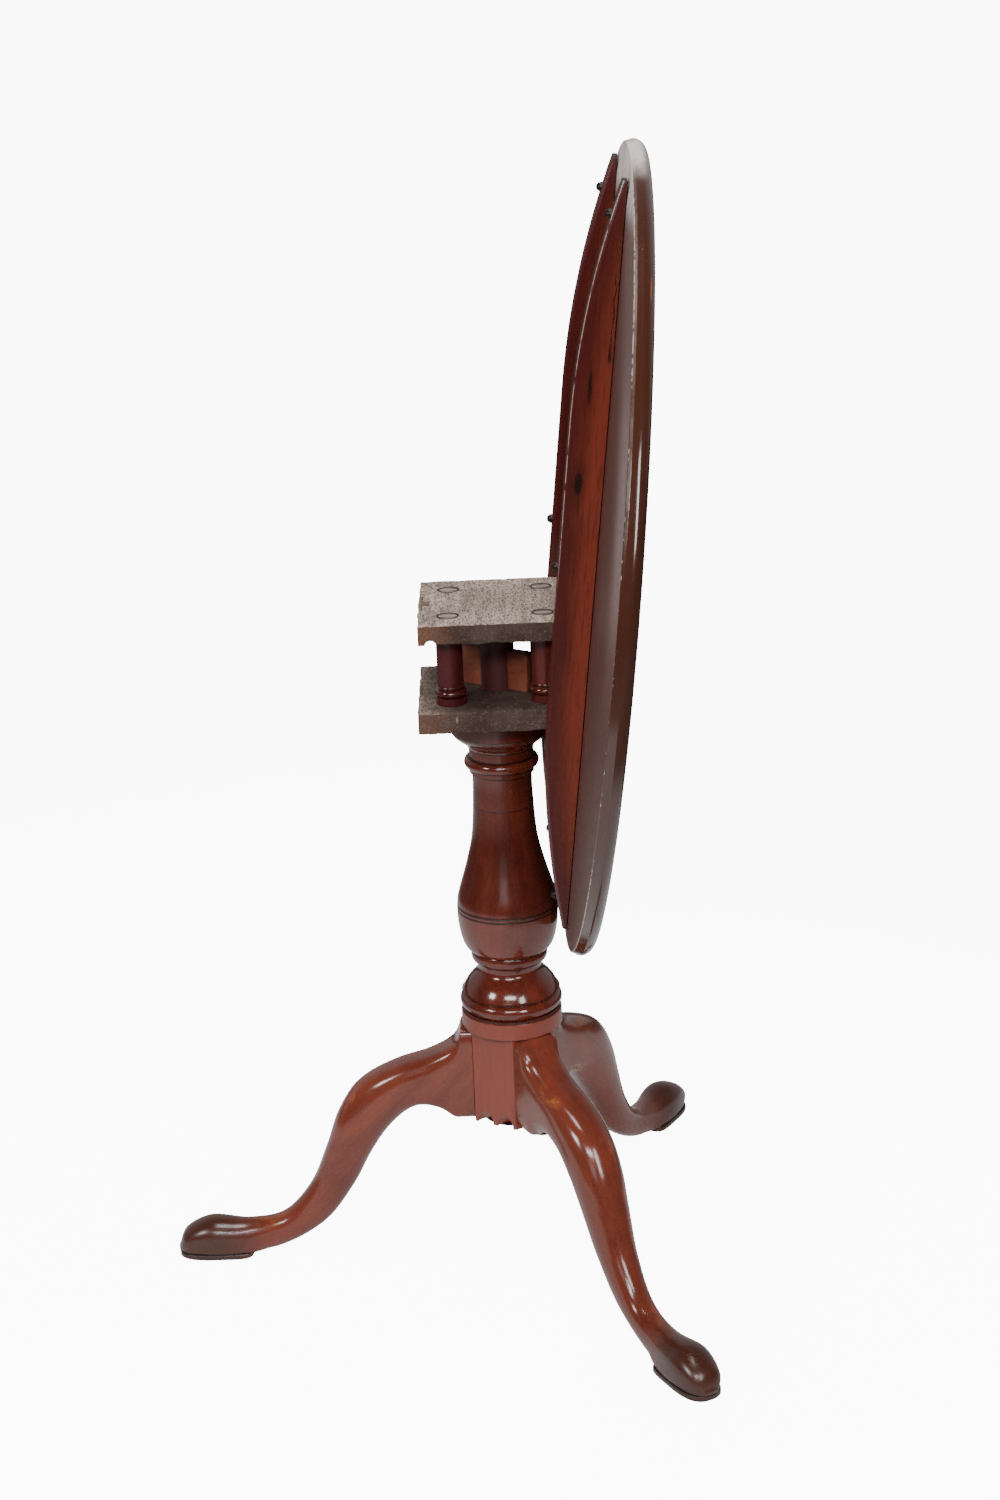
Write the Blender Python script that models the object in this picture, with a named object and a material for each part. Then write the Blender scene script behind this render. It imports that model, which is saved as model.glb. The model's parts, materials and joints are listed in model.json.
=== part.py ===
"""Tilt-top tripod table: a round top on two bearers, a birdcage, a turned column and three legs.

Metres, +Z up. The top stands tilted up, as it is put away. The origin is on the floor, under the
middle of the table's outer box, with the hinge along Y on the +X side of the column.
"""
from math import cos, hypot, pi, radians, sin

import bmesh
import bpy
from mathutils import Matrix, Vector

# Clearances
FIT = 0.0003                    # between faces that touch on the real table
RUNNING_FIT = 0.0005            # round a shaft, pin or bolt that moves
CUT_PAST = 0.005                # how far a cutter or a joined shape reaches past a face

# Column, from the underside of its six-sided foot to the cap that carries the cage
CORE_BOTTOM = 0.152             # height above the floor
CORE_APOTHEM = 0.0407
CORE_HEIGHT = 0.0995
DRUM_RADIUS = 0.0503
DRUM_HEIGHT = 0.0165
GROOVE_DEPTH = 0.0018
GROOVE_HEIGHT = 0.0020
BASE_TORUS_HEIGHT = 0.0170
BASE_TORUS_SWELL = 0.0006
BEAD_HEIGHT = 0.0015
BEAD_SET_BACK = 0.0022
OGEE_HEIGHT = 0.0235
OGEE_SET_BACK = 0.0012
LOWER_NECK_RADIUS = 0.0318
LOWER_NECK_HEIGHT = 0.0090
RING_RADIUS = 0.0380
RING_HEIGHT = 0.0125
BOWL_HEIGHT = 0.0430
SWELL_RADIUS = 0.0500
INCISION = 0.0009
VASE_HEIGHT = 0.1415
VASE_CURVE = ((0.0, 0.87), (0.13, 0.56), (0.44, 0.345), (0.90, 0.115))     # shares of swell and height
NECK_RADIUS = 0.0292
NECK_FILLET = 0.0022
FILLET_HEIGHT = 0.0055
UPPER_RING_RADIUS = 0.0365
UPPER_RING_HEIGHT = 0.0115
UPPER_NECK_HEIGHT = 0.0085
CAP_RADIUS = 0.0485
CAP_SET_BACK = 0.0012
CAP_OGEE_HEIGHT = 0.0175
CAP_BAND_HEIGHT = 0.0221
SPINDLE_RADIUS = 0.0163
SPINDLE_SEAT = 0.0080           # depth of the spindle in the upper block
GOUGE_RADIUS = 0.0090
GOUGE_SPACING = 0.0230
GOUGE_LEAN_DEG = 45.0

# Legs, dovetailed into the column's foot
LEG_COUNT = 3
FIRST_LEG_DEG = 179.0
LEG_HALF_WIDTH = 0.0230
LEG_ROOT_PAST_DRUM = 0.0017
TOE_REACH = 0.3535              # column axis to the end of the foot
PAD_HALF_LENGTH = 0.0387
PAD_HALF_WIDTH = 0.0215
PAD_THICK = 0.0055
PAD_TOE_SQUARENESS = 2.6        # 2 is an ellipse, more is squarer
PAD_HEEL_SQUARENESS = 5.0
HEEL_RUN = 0.0240               # length over which the foot's underside turns flat at its heel
TONGUE_LENGTH = 0.0140
TONGUE_NECK = 0.0180
TONGUE_TAIL = 0.0260
TONGUE_HEIGHT = 0.0840
ROOT_SQUARENESS = 5.7
FOOT_SQUARENESS = 2.2
SOLE_SQUARENESS = 7.0
# The leg's curve, root to toe: shares of reach and height of its upper edge, then of its lower edge,
# and of its half width
LEG_CURVE = ((0.000, 1.000, 0.000, 1.000, 1.00), (0.027, 0.928, 0.033, 1.000, 1.00),
             (0.107, 0.874, 0.080, 1.065, 1.01), (0.233, 0.828, 0.143, 1.090, 1.06),
             (0.353, 0.752, 0.200, 1.028, 1.11), (0.427, 0.624, 0.263, 0.905, 1.08),
             (0.473, 0.474, 0.323, 0.725, 0.97), (0.537, 0.300, 0.387, 0.490, 0.81),
             (0.637, 0.170, 0.493, 0.218, 0.67), (0.760, 0.143, 0.660, 0.036, 0.68),
             (0.887, 0.156, 0.833, 0.020, 0.93), (0.973, 0.110, 0.950, 0.020, 0.75),
             (1.000, 0.042, 0.993, 0.027, 0.36))

# Iron plate under the column's foot
PLATE_THICK = 0.0020
PLATE_HUB_RADIUS = 0.0330
PLATE_ARM_WIDTH = 0.0190
PLATE_ARM_END = 0.0080          # from the screw in a leg to the end of the arm
PLATE_SCREW_PAST_FLAT = 0.0143  # from the column's flat to the screw in a leg
PLATE_SCREW_INNER = 0.0170      # column axis to the screws in the column
PLATE_SCREW_RADIUS = 0.0016
PLATE_SCREW_HEAD_RADIUS = 0.0032
PLATE_SCREW_HEAD_HEIGHT = 0.0020
PLATE_SCREW_LENGTH = 0.0160

# Birdcage
BLOCK_HALF_DEPTH = 0.0770
UPPER_BACK = 0.0728             # column axis to the upper block's latch edge
LOWER_BACK = 0.0765
UPPER_THICK = 0.0191
LOWER_THICK = 0.0204
CAGE_GAP = 0.0666
HINGE_X = 0.0775                # column axis to the pintles
PINTLE_RADIUS = 0.0068
PINTLE_COVER = 0.0040           # wood left outside each pintle's blind bore
PILLAR_SPACING = 0.0892
PILLAR_RADIUS = 0.0123
PILLAR_TAPER = 0.0005
PILLAR_BASE_RADIUS = 0.0150
PILLAR_BASE_HEIGHT = 0.0165
PILLAR_PLINTH_HEIGHT = 0.0074
PILLAR_HEAD_RADIUS = 0.0144
PILLAR_HEAD_HEIGHT = 0.0145
PILLAR_BEAD = 0.0014
TENON_RADIUS = 0.0095
TENON_WEDGE_THICK = 0.0018
TENON_WEDGE_DEPTH = 0.0110
TENON_WEDGE_INSET = 0.0010
KEY_THICK = 0.0105
KEY_HEIGHT = 0.0358
KEY_TURN_DEG = -34.0
KEY_END_CLEARANCE = 0.0075      # from the key's ends to the pillars as the cage turns
MORTISE_DROP = 0.0015           # the mortise starts below the lower block's face, so the key bears on it

# Top and its bearers
TOP_RADIUS = 0.3823
TOP_THICK = 0.0208
TOP_ARRIS_SET_BACK = 0.0026     # from the rim in to the ridge under it
TOP_ARRIS_RISE = 0.0024
TOP_BEVEL_WIDTH = 0.0280
RIM_RUN = 0.0100                # how far the rounded rim reaches in over the upper face
RIM_FALL = 0.0106
HINGE_TO_CENTRE = 0.0563        # pintles to the middle of the top
TILT_DEG = 6.12                 # lean past upright, where the top meets the lower block
BEARER_THICK = 0.0230
BEARER_DEPTH = 0.0350
BEARER_INSET = 0.0298           # by which half a bearer falls short of the top's radius
BEARER_FLAT_HALF_LENGTH = 0.1300
BEARER_END_DEPTH = 0.0045
BEARER_SHIFT = 0.0060           # from the middle of the top to the middle of the bearers
BEARER_EDGE_ROUND = 0.0012
SCREW_END_INSET = 0.0305        # end of a bearer to its end screws
SCREW_HEAD_RADIUS = 0.0038
SCREW_HEAD_HEIGHT = 0.0030
SCREW_SHANK_RADIUS = 0.0022
SCREW_BITE = 0.0120             # length of a bearer screw in the top
SCREW_SEAT = 0.0012

# Sliding catch under the top and its keeper in the upper block
BOLT_WIDTH = 0.0160
BOLT_THICK = 0.0050
BOLT_LENGTH = 0.0580
BOLT_TRAVEL = 0.0105
CATCH_GAP = 0.0015              # from the latch edge to the catch
CATCH_PLATE_LENGTH = 0.0600
CATCH_PLATE_WIDTH = 0.0380
CATCH_PLATE_THICK = 0.0020
GUIDE_LENGTH = 0.0100
GUIDE_WALL = 0.0016
KNOB_RADIUS = 0.0060
KNOB_HEIGHT = 0.0110
KNOB_CLEARANCE = 0.0010         # from the knob to a guide at each end of its travel
CATCH_SCREW_RADIUS = 0.0015
CATCH_SCREW_HEAD_RADIUS = 0.0029
CATCH_SCREW_HEAD_HEIGHT = 0.0013
CATCH_SCREW_LENGTH = 0.0100
CATCH_SCREW_INSET = 0.0044
KEEPER_LENGTH = 0.0450
KEEPER_THICK = 0.0030
KEEPER_LEDGE = 0.0046           # wood left under the keeper
KEEPER_SCREW_INSET = 0.0050
POCKET_CLEARANCE = 0.0010       # past the end of the bolt when it is home

# Roundness of the meshes
SHAFT_SIDES = 28
LEG_SIDES = 16
PAD_SIDES = 24
SMALL_SIDES = 12
SCREW_SIDES = 8
TOP_SIDES = 64

# Heights up the column
DRUM_BASE = CORE_BOTTOM + CORE_HEIGHT
DRUM_TOP = DRUM_BASE + DRUM_HEIGHT
TORUS_BASE = DRUM_TOP + GROOVE_HEIGHT
TORUS_TOP = TORUS_BASE + BASE_TORUS_HEIGHT
OGEE_BASE = TORUS_TOP + BEAD_HEIGHT
LOWER_NECK = OGEE_BASE + OGEE_HEIGHT
RING_BASE = LOWER_NECK + LOWER_NECK_HEIGHT
BOWL_BASE = RING_BASE + RING_HEIGHT
SWELL_LINE = BOWL_BASE + BOWL_HEIGHT
FILLET_BASE = SWELL_LINE + VASE_HEIGHT
UPPER_RING_BASE = FILLET_BASE + FILLET_HEIGHT
UPPER_NECK = UPPER_RING_BASE + UPPER_RING_HEIGHT
CAP_BASE = UPPER_NECK + UPPER_NECK_HEIGHT
CAP_BAND = CAP_BASE + CAP_OGEE_HEIGHT
CAP_TOP = CAP_BAND + CAP_BAND_HEIGHT

# Heights and reaches in the cage
LOWER_BOTTOM = CAP_TOP + FIT
LOWER_TOP = LOWER_BOTTOM + LOWER_THICK
UPPER_BOTTOM = LOWER_TOP + CAGE_GAP
UPPER_TOP = UPPER_BOTTOM + UPPER_THICK
HINGE_Z = UPPER_TOP - UPPER_THICK / 2
SPINDLE_TOP = UPPER_BOTTOM + SPINDLE_SEAT - FIT
KEY_BOTTOM = LOWER_TOP + FIT
KEY_TOP = KEY_BOTTOM + KEY_HEIGHT
PILLAR_CIRCLE = PILLAR_SPACING / 2 ** 0.5
KEY_HALF_LENGTH = PILLAR_CIRCLE - PILLAR_BASE_RADIUS - KEY_END_CLEARANCE
KEEPER_HEIGHT = UPPER_THICK - KEEPER_LEDGE
KEEPER_SCREW_HEIGHT = UPPER_TOP - KEEPER_HEIGHT / 2
KEEPER_SCREW_SIDE = KEEPER_LENGTH / 2 - KEEPER_SCREW_INSET
POCKET_DEPTH = BOLT_TRAVEL - CATCH_GAP - KEEPER_THICK + POCKET_CLEARANCE

# The top is drawn lowered, from the pintles, and then swung up by this angle
TILT = radians(TILT_DEG)
SWING = pi / 2 + TILT
UNDERSIDE = UPPER_THICK / 2 + FIT
TOP_ARRIS_RADIUS = TOP_RADIUS - TOP_ARRIS_SET_BACK
BEARER_TOP = UNDERSIDE - FIT
BEARER_HALF_LENGTH = TOP_RADIUS - BEARER_INSET
SCREW_OFFSET = BEARER_HALF_LENGTH - SCREW_END_INSET
BEARER_INSIDE = BLOCK_HALF_DEPTH + RUNNING_FIT
BEARER_ACROSS = BEARER_INSIDE + BEARER_THICK / 2
BEARER_ALONG = -(HINGE_TO_CENTRE + BEARER_SHIFT)
CATCH_EDGE = -(HINGE_X + UPPER_BACK + CATCH_GAP)
CATCH_MIDDLE = CATCH_EDGE - CATCH_PLATE_LENGTH / 2
CATCH_FACE = UNDERSIDE - FIT - CATCH_PLATE_THICK
BOLT_TOP = CATCH_FACE - FIT
BOLT_BOTTOM = BOLT_TOP - BOLT_THICK
GUIDE_SPACING = BOLT_TRAVEL + 2 * (KNOB_RADIUS + KNOB_CLEARANCE) + GUIDE_LENGTH
STOP_X = HINGE_X + (UNDERSIDE - FIT - (HINGE_Z - LOWER_BOTTOM) * sin(TILT)) / cos(TILT)


def arc(centre, radii, start, end, steps):
    """Points of an elliptical arc, its angles in degrees from the first axis to the second."""
    angles = [radians(start + (end - start) * k / steps) for k in range(steps + 1)]
    return [(centre[0] + radii[0] * cos(a), centre[1] + radii[1] * sin(a)) for a in angles]


def ogee(first, last, steps):
    """A double curve between two points of a turned profile, upright at both ends."""
    shares = [k / steps for k in range(steps + 1)]
    return [(first[0] + (last[0] - first[0]) * t * t * (3 - 2 * t), first[1] + (last[1] - first[1]) * t)
            for t in shares]


def smooth(points, steps):
    """A curve through every point, each a tuple of any length."""
    padded = [points[0]] + list(points) + [points[-1]]
    curve = []
    for before, here, there, after in zip(padded, padded[1:], padded[2:], padded[3:]):
        for k in range(steps):
            t = k / steps
            curve.append(tuple(b + (c - a) * t / 2 + (2 * a - 5 * b + 4 * c - d) * t ** 2 / 2
                               + (3 * b - a - 3 * c + d) * t ** 3 / 2
                               for a, b, c, d in zip(before, here, there, after)))
    curve.append(points[-1])
    return curve


def lathe(profile, sides):
    """Turn a profile of radius and height about Z. It starts and ends on the axis."""
    bm = bmesh.new()
    verts = [bm.verts.new((radius, 0.0, height)) for radius, height in profile]
    edges = [bm.edges.new(pair) for pair in zip(verts, verts[1:])]
    bmesh.ops.spin(bm, geom=verts + edges, cent=(0, 0, 0), axis=(0, 0, 1), angle=2 * pi, steps=sides,
                   use_merge=True)
    bmesh.ops.remove_doubles(bm, verts=bm.verts, dist=1e-6)
    bmesh.ops.recalc_face_normals(bm, faces=bm.faces)
    return bm


def rod(radius, bottom, top, sides):
    """A plain cylinder along Z."""
    return lathe([(0, top), (radius, top), (radius, bottom), (0, bottom)], sides)


def prism(outline, bottom, top):
    """An outline in X and Y, extruded along Z."""
    bm = bmesh.new()
    face = bm.faces.new([bm.verts.new((x, y, bottom)) for x, y in outline])
    grown = bmesh.ops.extrude_face_region(bm, geom=[face])
    risen = [part for part in grown["geom"] if isinstance(part, bmesh.types.BMVert)]
    bmesh.ops.translate(bm, verts=risen, vec=(0, 0, top - bottom))
    bmesh.ops.recalc_face_normals(bm, faces=bm.faces)
    return bm


def box(low, high):
    """A block between two corners."""
    outline = [(low[0], low[1]), (high[0], low[1]), (high[0], high[1]), (low[0], high[1])]
    return prism(outline, low[2], high[2])


def moved(bm, matrix):
    """The same mesh, moved by a matrix."""
    bmesh.ops.transform(bm, matrix=matrix, verts=bm.verts)
    return bm


def joined(meshes):
    """Several closed meshes as one."""
    whole = bmesh.new()
    for bm in meshes:
        part = bpy.data.meshes.new("part")
        bm.to_mesh(part)
        bm.free()
        whole.from_mesh(part)
        bpy.data.meshes.remove(part)
    return whole


def turn(degrees):
    """A turn about the column's axis."""
    return Matrix.Rotation(radians(degrees), 4, "Z")


def shift(x, y, z):
    """A move without a turn."""
    return Matrix.Translation((x, y, z))


# Turns that lay an upright outline along Y, and across X
ALONG_Y = Matrix.Rotation(pi / 2, 4, "X")
ACROSS_X = Matrix(((0, 0, 1, 0), (1, 0, 0, 0), (0, 1, 0, 0), (0, 0, 0, 1)))


def finish(name, colour, roughness, metallic=0.0):
    """A plain material with a part's colour, roughness and metallic value."""
    material = bpy.data.materials.new(name)
    material.use_nodes = True
    shader = material.node_tree.nodes["Principled BSDF"]
    shader.inputs["Base Color"].default_value = (*colour, 1.0)
    shader.inputs["Roughness"].default_value = roughness
    shader.inputs["Metallic"].default_value = metallic
    material.diffuse_color = (*colour, 1.0)
    return material


POLISHED = ((0.13, 0.026, 0.013), 0.18)
SATIN = ((0.17, 0.085, 0.060), 0.45)
RAW = ((0.23, 0.165, 0.125), 0.75)
FRESH = ((0.36, 0.135, 0.055), 0.6)
IRON = ((0.035, 0.032, 0.030), 0.5, 1.0)
BRASS = ((0.55, 0.38, 0.14), 0.35, 1.0)


def piece(name, bm, look, parent, smooth_angle=35.0):
    """Make a mesh one named piece of the table, with its own material."""
    mesh = bpy.data.meshes.new(name)
    bm.to_mesh(mesh)
    bm.free()
    mesh.shade_smooth()
    mesh.set_sharp_from_angle(angle=radians(smooth_angle))
    mesh.materials.append(finish(name, *look))
    made = bpy.data.objects.new(name, mesh)
    made.parent = parent
    bpy.context.collection.objects.link(made)
    return made


def combine(target, name, bm, operation):
    """Cut a mesh out of a piece, or add it to the piece."""
    mesh = bpy.data.meshes.new(name)
    bm.to_mesh(mesh)
    bm.free()
    tool = bpy.data.objects.new(name, mesh)
    tool.parent = target.parent
    tool.hide_render = True
    tool.display_type = "WIRE"
    bpy.context.collection.objects.link(tool)
    modifier = target.modifiers.new(name, "BOOLEAN")
    modifier.operation = operation
    modifier.object = tool
    return modifier


def empty(name, parent, place):
    """An axis that pieces hang on."""
    axis = bpy.data.objects.new(name, None)
    axis.parent = parent
    axis.location = place
    bpy.context.collection.objects.link(axis)
    return axis


def leg_angles():
    """Directions of the legs round the column."""
    return [FIRST_LEG_DEG + k * 360.0 / LEG_COUNT for k in range(LEG_COUNT)]


def column_profile():
    """The turned outline from the spindle's top down to the underside of the drum."""
    swell = SWELL_RADIUS - NECK_RADIUS
    vase = [(NECK_RADIUS, FILLET_BASE)]
    vase += [(NECK_RADIUS + swell * out, SWELL_LINE + VASE_HEIGHT * up) for out, up in VASE_CURVE]
    vase += [(SWELL_RADIUS, SWELL_LINE + INCISION)]
    bowl_radii = (SWELL_RADIUS - RING_RADIUS, BOWL_HEIGHT - INCISION)
    ring_radii = (RING_HEIGHT / 4, RING_HEIGHT / 2)
    upper_ring = UPPER_RING_HEIGHT / 2
    torus = BASE_TORUS_HEIGHT / 2
    torus_middle = DRUM_RADIUS + BASE_TORUS_SWELL - torus
    neck = NECK_RADIUS + NECK_FILLET
    points = [(0, SPINDLE_TOP), (SPINDLE_RADIUS, SPINDLE_TOP), (SPINDLE_RADIUS, CAP_TOP)]
    points += [(CAP_RADIUS, CAP_TOP), (CAP_RADIUS, CAP_BAND)]
    points += ogee((CAP_RADIUS - CAP_SET_BACK, CAP_BAND), (neck, CAP_BASE), 4)
    points += [(neck, UPPER_NECK)]
    ring_centre = (UPPER_RING_RADIUS - upper_ring, UPPER_NECK - upper_ring)
    points += arc(ring_centre, (upper_ring, upper_ring), 80, -80, 4)
    points += [(neck, UPPER_RING_BASE), (neck, FILLET_BASE)]
    points += smooth(vase, 2)
    points += [(SWELL_RADIUS - INCISION, SWELL_LINE)]
    points += arc((RING_RADIUS, SWELL_LINE - INCISION), bowl_radii, 0, -90, 5)
    points += arc((RING_RADIUS - ring_radii[0], BOWL_BASE - ring_radii[1]), ring_radii, 80, -80, 4)
    points += ogee((RING_RADIUS - ring_radii[0], RING_BASE), (LOWER_NECK_RADIUS, LOWER_NECK), 3)[:-1]
    points += ogee((LOWER_NECK_RADIUS, LOWER_NECK), (DRUM_RADIUS - OGEE_SET_BACK, OGEE_BASE), 5)
    points += [(DRUM_RADIUS - BEAD_SET_BACK, TORUS_TOP)]
    points += arc((torus_middle, TORUS_TOP - torus), (torus, torus), 60, -70, 5)
    points += [(DRUM_RADIUS - GROOVE_DEPTH, TORUS_BASE), (DRUM_RADIUS - GROOVE_DEPTH, DRUM_TOP)]
    points += [(DRUM_RADIUS, DRUM_TOP - GROOVE_DEPTH / 2), (DRUM_RADIUS, DRUM_BASE), (0, DRUM_BASE)]
    return points


def tongue_outline(slack):
    """Dovetail of a leg, pointing to the column's axis from the flat that the leg stands on."""
    face = CORE_APOTHEM + FIT
    flare = (TONGUE_TAIL - TONGUE_NECK) / 2 / TONGUE_LENGTH
    tip = face - TONGUE_LENGTH - slack
    wide = TONGUE_TAIL / 2 + slack
    narrow = TONGUE_NECK / 2 - flare * CUT_PAST + slack
    return [(face + CUT_PAST, -narrow), (face + CUT_PAST, narrow), (tip, wide), (tip, -wide)]


def gouge_cuts():
    """Pairs of scoops along the lower edge of the column's three free flats."""
    lean = Matrix.Rotation(radians(GOUGE_LEAN_DEG), 4, "Y")
    cuts = []
    for angle in leg_angles():
        for side in (-1, 1):
            place = shift(CORE_APOTHEM, side * GOUGE_SPACING / 2, CORE_BOTTOM)
            scoop = rod(GOUGE_RADIUS, -CORE_APOTHEM, CORE_APOTHEM, SMALL_SIDES)
            cuts.append(moved(scoop, turn(angle + 180.0 / LEG_COUNT) @ place @ lean))
    return joined(cuts)


def plate_screw_places():
    """Where the screws of the iron plate stand: one in each leg, and one in the column beside each."""
    outer = CORE_APOTHEM + PLATE_SCREW_PAST_FLAT
    beside = 180.0 / LEG_COUNT
    in_legs = [turn(angle) @ shift(outer, 0, 0) for angle in leg_angles()]
    return in_legs + [turn(angle + beside) @ shift(PLATE_SCREW_INNER, 0, 0) for angle in leg_angles()]


def plate_screw_hole():
    """Hole for one screw of the iron plate, through the plate and into the wood."""
    tip = CORE_BOTTOM + PLATE_SCREW_LENGTH
    return rod(PLATE_SCREW_RADIUS + FIT, CORE_BOTTOM - CUT_PAST, tip, SCREW_SIDES)


def column(parent):
    """Turned shaft with its spindle, six-sided foot, leg sockets and key mortise."""
    made = piece("column", lathe(column_profile(), SHAFT_SIDES), POLISHED, parent)
    corner = CORE_APOTHEM / cos(pi / 6)
    outline = arc((0, 0), (corner, corner), FIRST_LEG_DEG + 30, FIRST_LEG_DEG + 330, 5)
    combine(made, "add_foot", prism(outline, CORE_BOTTOM, DRUM_BASE + DRUM_HEIGHT / 2), "UNION")
    socket_top = CORE_BOTTOM + TONGUE_HEIGHT + FIT
    sockets = [moved(prism(tongue_outline(FIT), CORE_BOTTOM - CUT_PAST, socket_top), turn(angle))
               for angle in leg_angles()]
    combine(made, "cut_sockets", joined(sockets), "DIFFERENCE")
    combine(made, "cut_gouges", gouge_cuts(), "DIFFERENCE")
    half = KEY_THICK / 2 + FIT
    past = SPINDLE_RADIUS + CUT_PAST
    mortise = box((-past, -half, LOWER_TOP - MORTISE_DROP), (past, half, KEY_TOP + FIT))
    combine(made, "cut_mortise", moved(mortise, turn(KEY_TURN_DEG)), "DIFFERENCE")
    holes = [moved(plate_screw_hole(), place) for place in plate_screw_places()[LEG_COUNT:]]
    combine(made, "cut_plate_screws", joined(holes), "DIFFERENCE")


def leg_rows():
    """Upper edge, lower edge and half width of a leg at the places that set its curve."""
    root = DRUM_RADIUS + LEG_ROOT_PAST_DRUM
    reach = TOE_REACH - root
    rise = DRUM_BASE - FIT
    return [(root + reach * out, rise * up, root + reach * low_out, CORE_BOTTOM * low_up,
             LEG_HALF_WIDTH * wide) for out, up, low_out, low_up, wide in LEG_CURVE]


def oval(angle, squareness):
    """A point of an oval one unit in radius, at an angle in radians."""
    power = 2 / squareness
    across = abs(cos(angle)) ** power * (1 if cos(angle) > 0 else -1)
    up = abs(sin(angle)) ** power * (1 if sin(angle) > 0 else -1)
    return across, up


def leg_section(row, squareness):
    """One ring of points round the leg, from its upper edge to its lower edge, which is flat in the foot."""
    heel = TOE_REACH - 2 * PAD_HALF_LENGTH
    flat = min(1.0, max(0.0, (row[2] - heel) / HEEL_RUN + 0.5))
    lower_squareness = squareness + (SOLE_SQUARENESS - squareness) * flat
    upper = Vector((row[0], 0, row[1]))
    lower = Vector((row[2], 0, row[3]))
    middle = (upper + lower) / 2
    half = (upper - lower) / 2
    ring = []
    for k in range(LEG_SIDES):
        angle = 2 * pi * (k + 0.5) / LEG_SIDES
        across, up = oval(angle, squareness if angle < pi else lower_squareness)
        ring.append(middle + half * up + Vector((0, row[4] * across, 0)))
    return ring


def leg_mesh():
    """The leg's cabriole curve as rings of points joined from the root to the toe."""
    rows = smooth(leg_rows(), 2)
    face = CORE_APOTHEM + FIT
    rows = [(face, rows[0][1], face, rows[0][3], rows[0][4])] + rows
    knee = len(rows) / 3
    bm = bmesh.new()
    rings = []
    for k, row in enumerate(rows):
        square = max(0.0, 1 - k / knee)
        ring = leg_section(row, FOOT_SQUARENESS + (ROOT_SQUARENESS - FOOT_SQUARENESS) * square)
        rings.append([bm.verts.new(point) for point in ring])
    for near, far in zip(rings, rings[1:]):
        for k in range(LEG_SIDES):
            bm.faces.new((near[k - 1], near[k], far[k], far[k - 1]))
    bm.faces.new(rings[0])
    bm.faces.new(rings[-1])
    bmesh.ops.recalc_face_normals(bm, faces=bm.faces)
    return bm


def pad_mesh():
    """The thin pad that the foot stands on, round at the toe and blunt at the heel."""
    middle = TOE_REACH - PAD_HALF_LENGTH
    outline = []
    for k in range(PAD_SIDES):
        angle = 2 * pi * k / PAD_SIDES
        ahead, across = oval(angle, PAD_TOE_SQUARENESS if cos(angle) > 0 else PAD_HEEL_SQUARENESS)
        outline.append((middle + PAD_HALF_LENGTH * ahead, PAD_HALF_WIDTH * across))
    bm = prism(outline, 0.0, PAD_THICK)
    upper = [edge for edge in bm.edges if all(vert.co.z > PAD_THICK / 2 for vert in edge.verts)]
    bmesh.ops.bevel(bm, geom=upper, offset=PAD_THICK / 4, segments=1, affect="EDGES")
    return bm


def legs(parent):
    """Three cabriole legs, each with a dovetail at its root and a pad under its foot."""
    names = ("leg_left", "leg_front", "leg_back")
    for name, angle, screw in zip(names, leg_angles(), plate_screw_places()):
        around = turn(angle)
        made = piece(name, moved(leg_mesh(), around), POLISHED, parent, 50.0)
        combine(made, name + "_add_pad", moved(pad_mesh(), around), "UNION")
        tongue = prism(tongue_outline(0.0), CORE_BOTTOM, CORE_BOTTOM + TONGUE_HEIGHT)
        combine(made, name + "_add_tongue", moved(tongue, around), "UNION")
        combine(made, name + "_cut_screw", moved(plate_screw_hole(), screw), "DIFFERENCE")


def base_plate(parent):
    """Three-armed iron plate under the column and the roots of the legs, with its screws."""
    top = CORE_BOTTOM - FIT
    bottom = top - PLATE_THICK
    half = PLATE_ARM_WIDTH / 2
    tip = CORE_APOTHEM + PLATE_SCREW_PAST_FLAT + PLATE_ARM_END - half
    outline = []
    for angle in leg_angles():
        arm = [(PLATE_HUB_RADIUS, -half)] + arc((tip, 0), (half, half), -90, 90, 6)
        arm += [(PLATE_HUB_RADIUS, half)]
        arm += arc((0, 0), (PLATE_HUB_RADIUS, PLATE_HUB_RADIUS), 36, 84, 4)
        outline += [tuple((turn(angle) @ Vector((x, y, 0)))[:2]) for x, y in arm]
    made = piece("base_plate", prism(outline, bottom, top), IRON, parent)
    holes = [moved(plate_screw_hole(), place) for place in plate_screw_places()]
    combine(made, "cut_base_plate_screws", joined(holes), "DIFFERENCE")
    for number, place in enumerate(plate_screw_places(), 1):
        screw = screw_mesh(CORE_BOTTOM + PLATE_SCREW_LENGTH - FIT, bottom - FIT, PLATE_SCREW_RADIUS,
                           PLATE_SCREW_HEAD_RADIUS, PLATE_SCREW_HEAD_HEIGHT)
        piece(f"base_plate_screw_{number}", moved(screw, place), IRON, parent)


def screw_mesh(tip, seat, shank, head, height):
    """A screw that points up, with a domed head under its seat."""
    profile = [(0, tip), (shank, tip), (shank, seat), (head, seat)]
    profile += arc((0, seat - height / 3), (head, height * 2 / 3), 0, -50, 1)
    profile += [(0, seat - height)]
    return lathe(profile, SCREW_SIDES)


def cage_key(parent):
    """Flat wooden key through the spindle, which holds the cage down."""
    half = KEY_THICK / 2
    bm = box((-KEY_HALF_LENGTH, -half, KEY_BOTTOM), (KEY_HALF_LENGTH, half, KEY_TOP))
    ends = [edge for edge in bm.edges if all(vert.co.x > 0 for vert in edge.verts)]
    bmesh.ops.bevel(bm, geom=ends, offset=half / 2, segments=1, affect="EDGES")
    piece("cage_key", moved(bm, turn(KEY_TURN_DEG)), FRESH, parent)


def pillar_places():
    """Name and place of each pillar round the spindle."""
    half = PILLAR_SPACING / 2
    return {"front_left": (-half, -half), "front_right": (half, -half),
            "back_left": (-half, half), "back_right": (half, half)}


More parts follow.
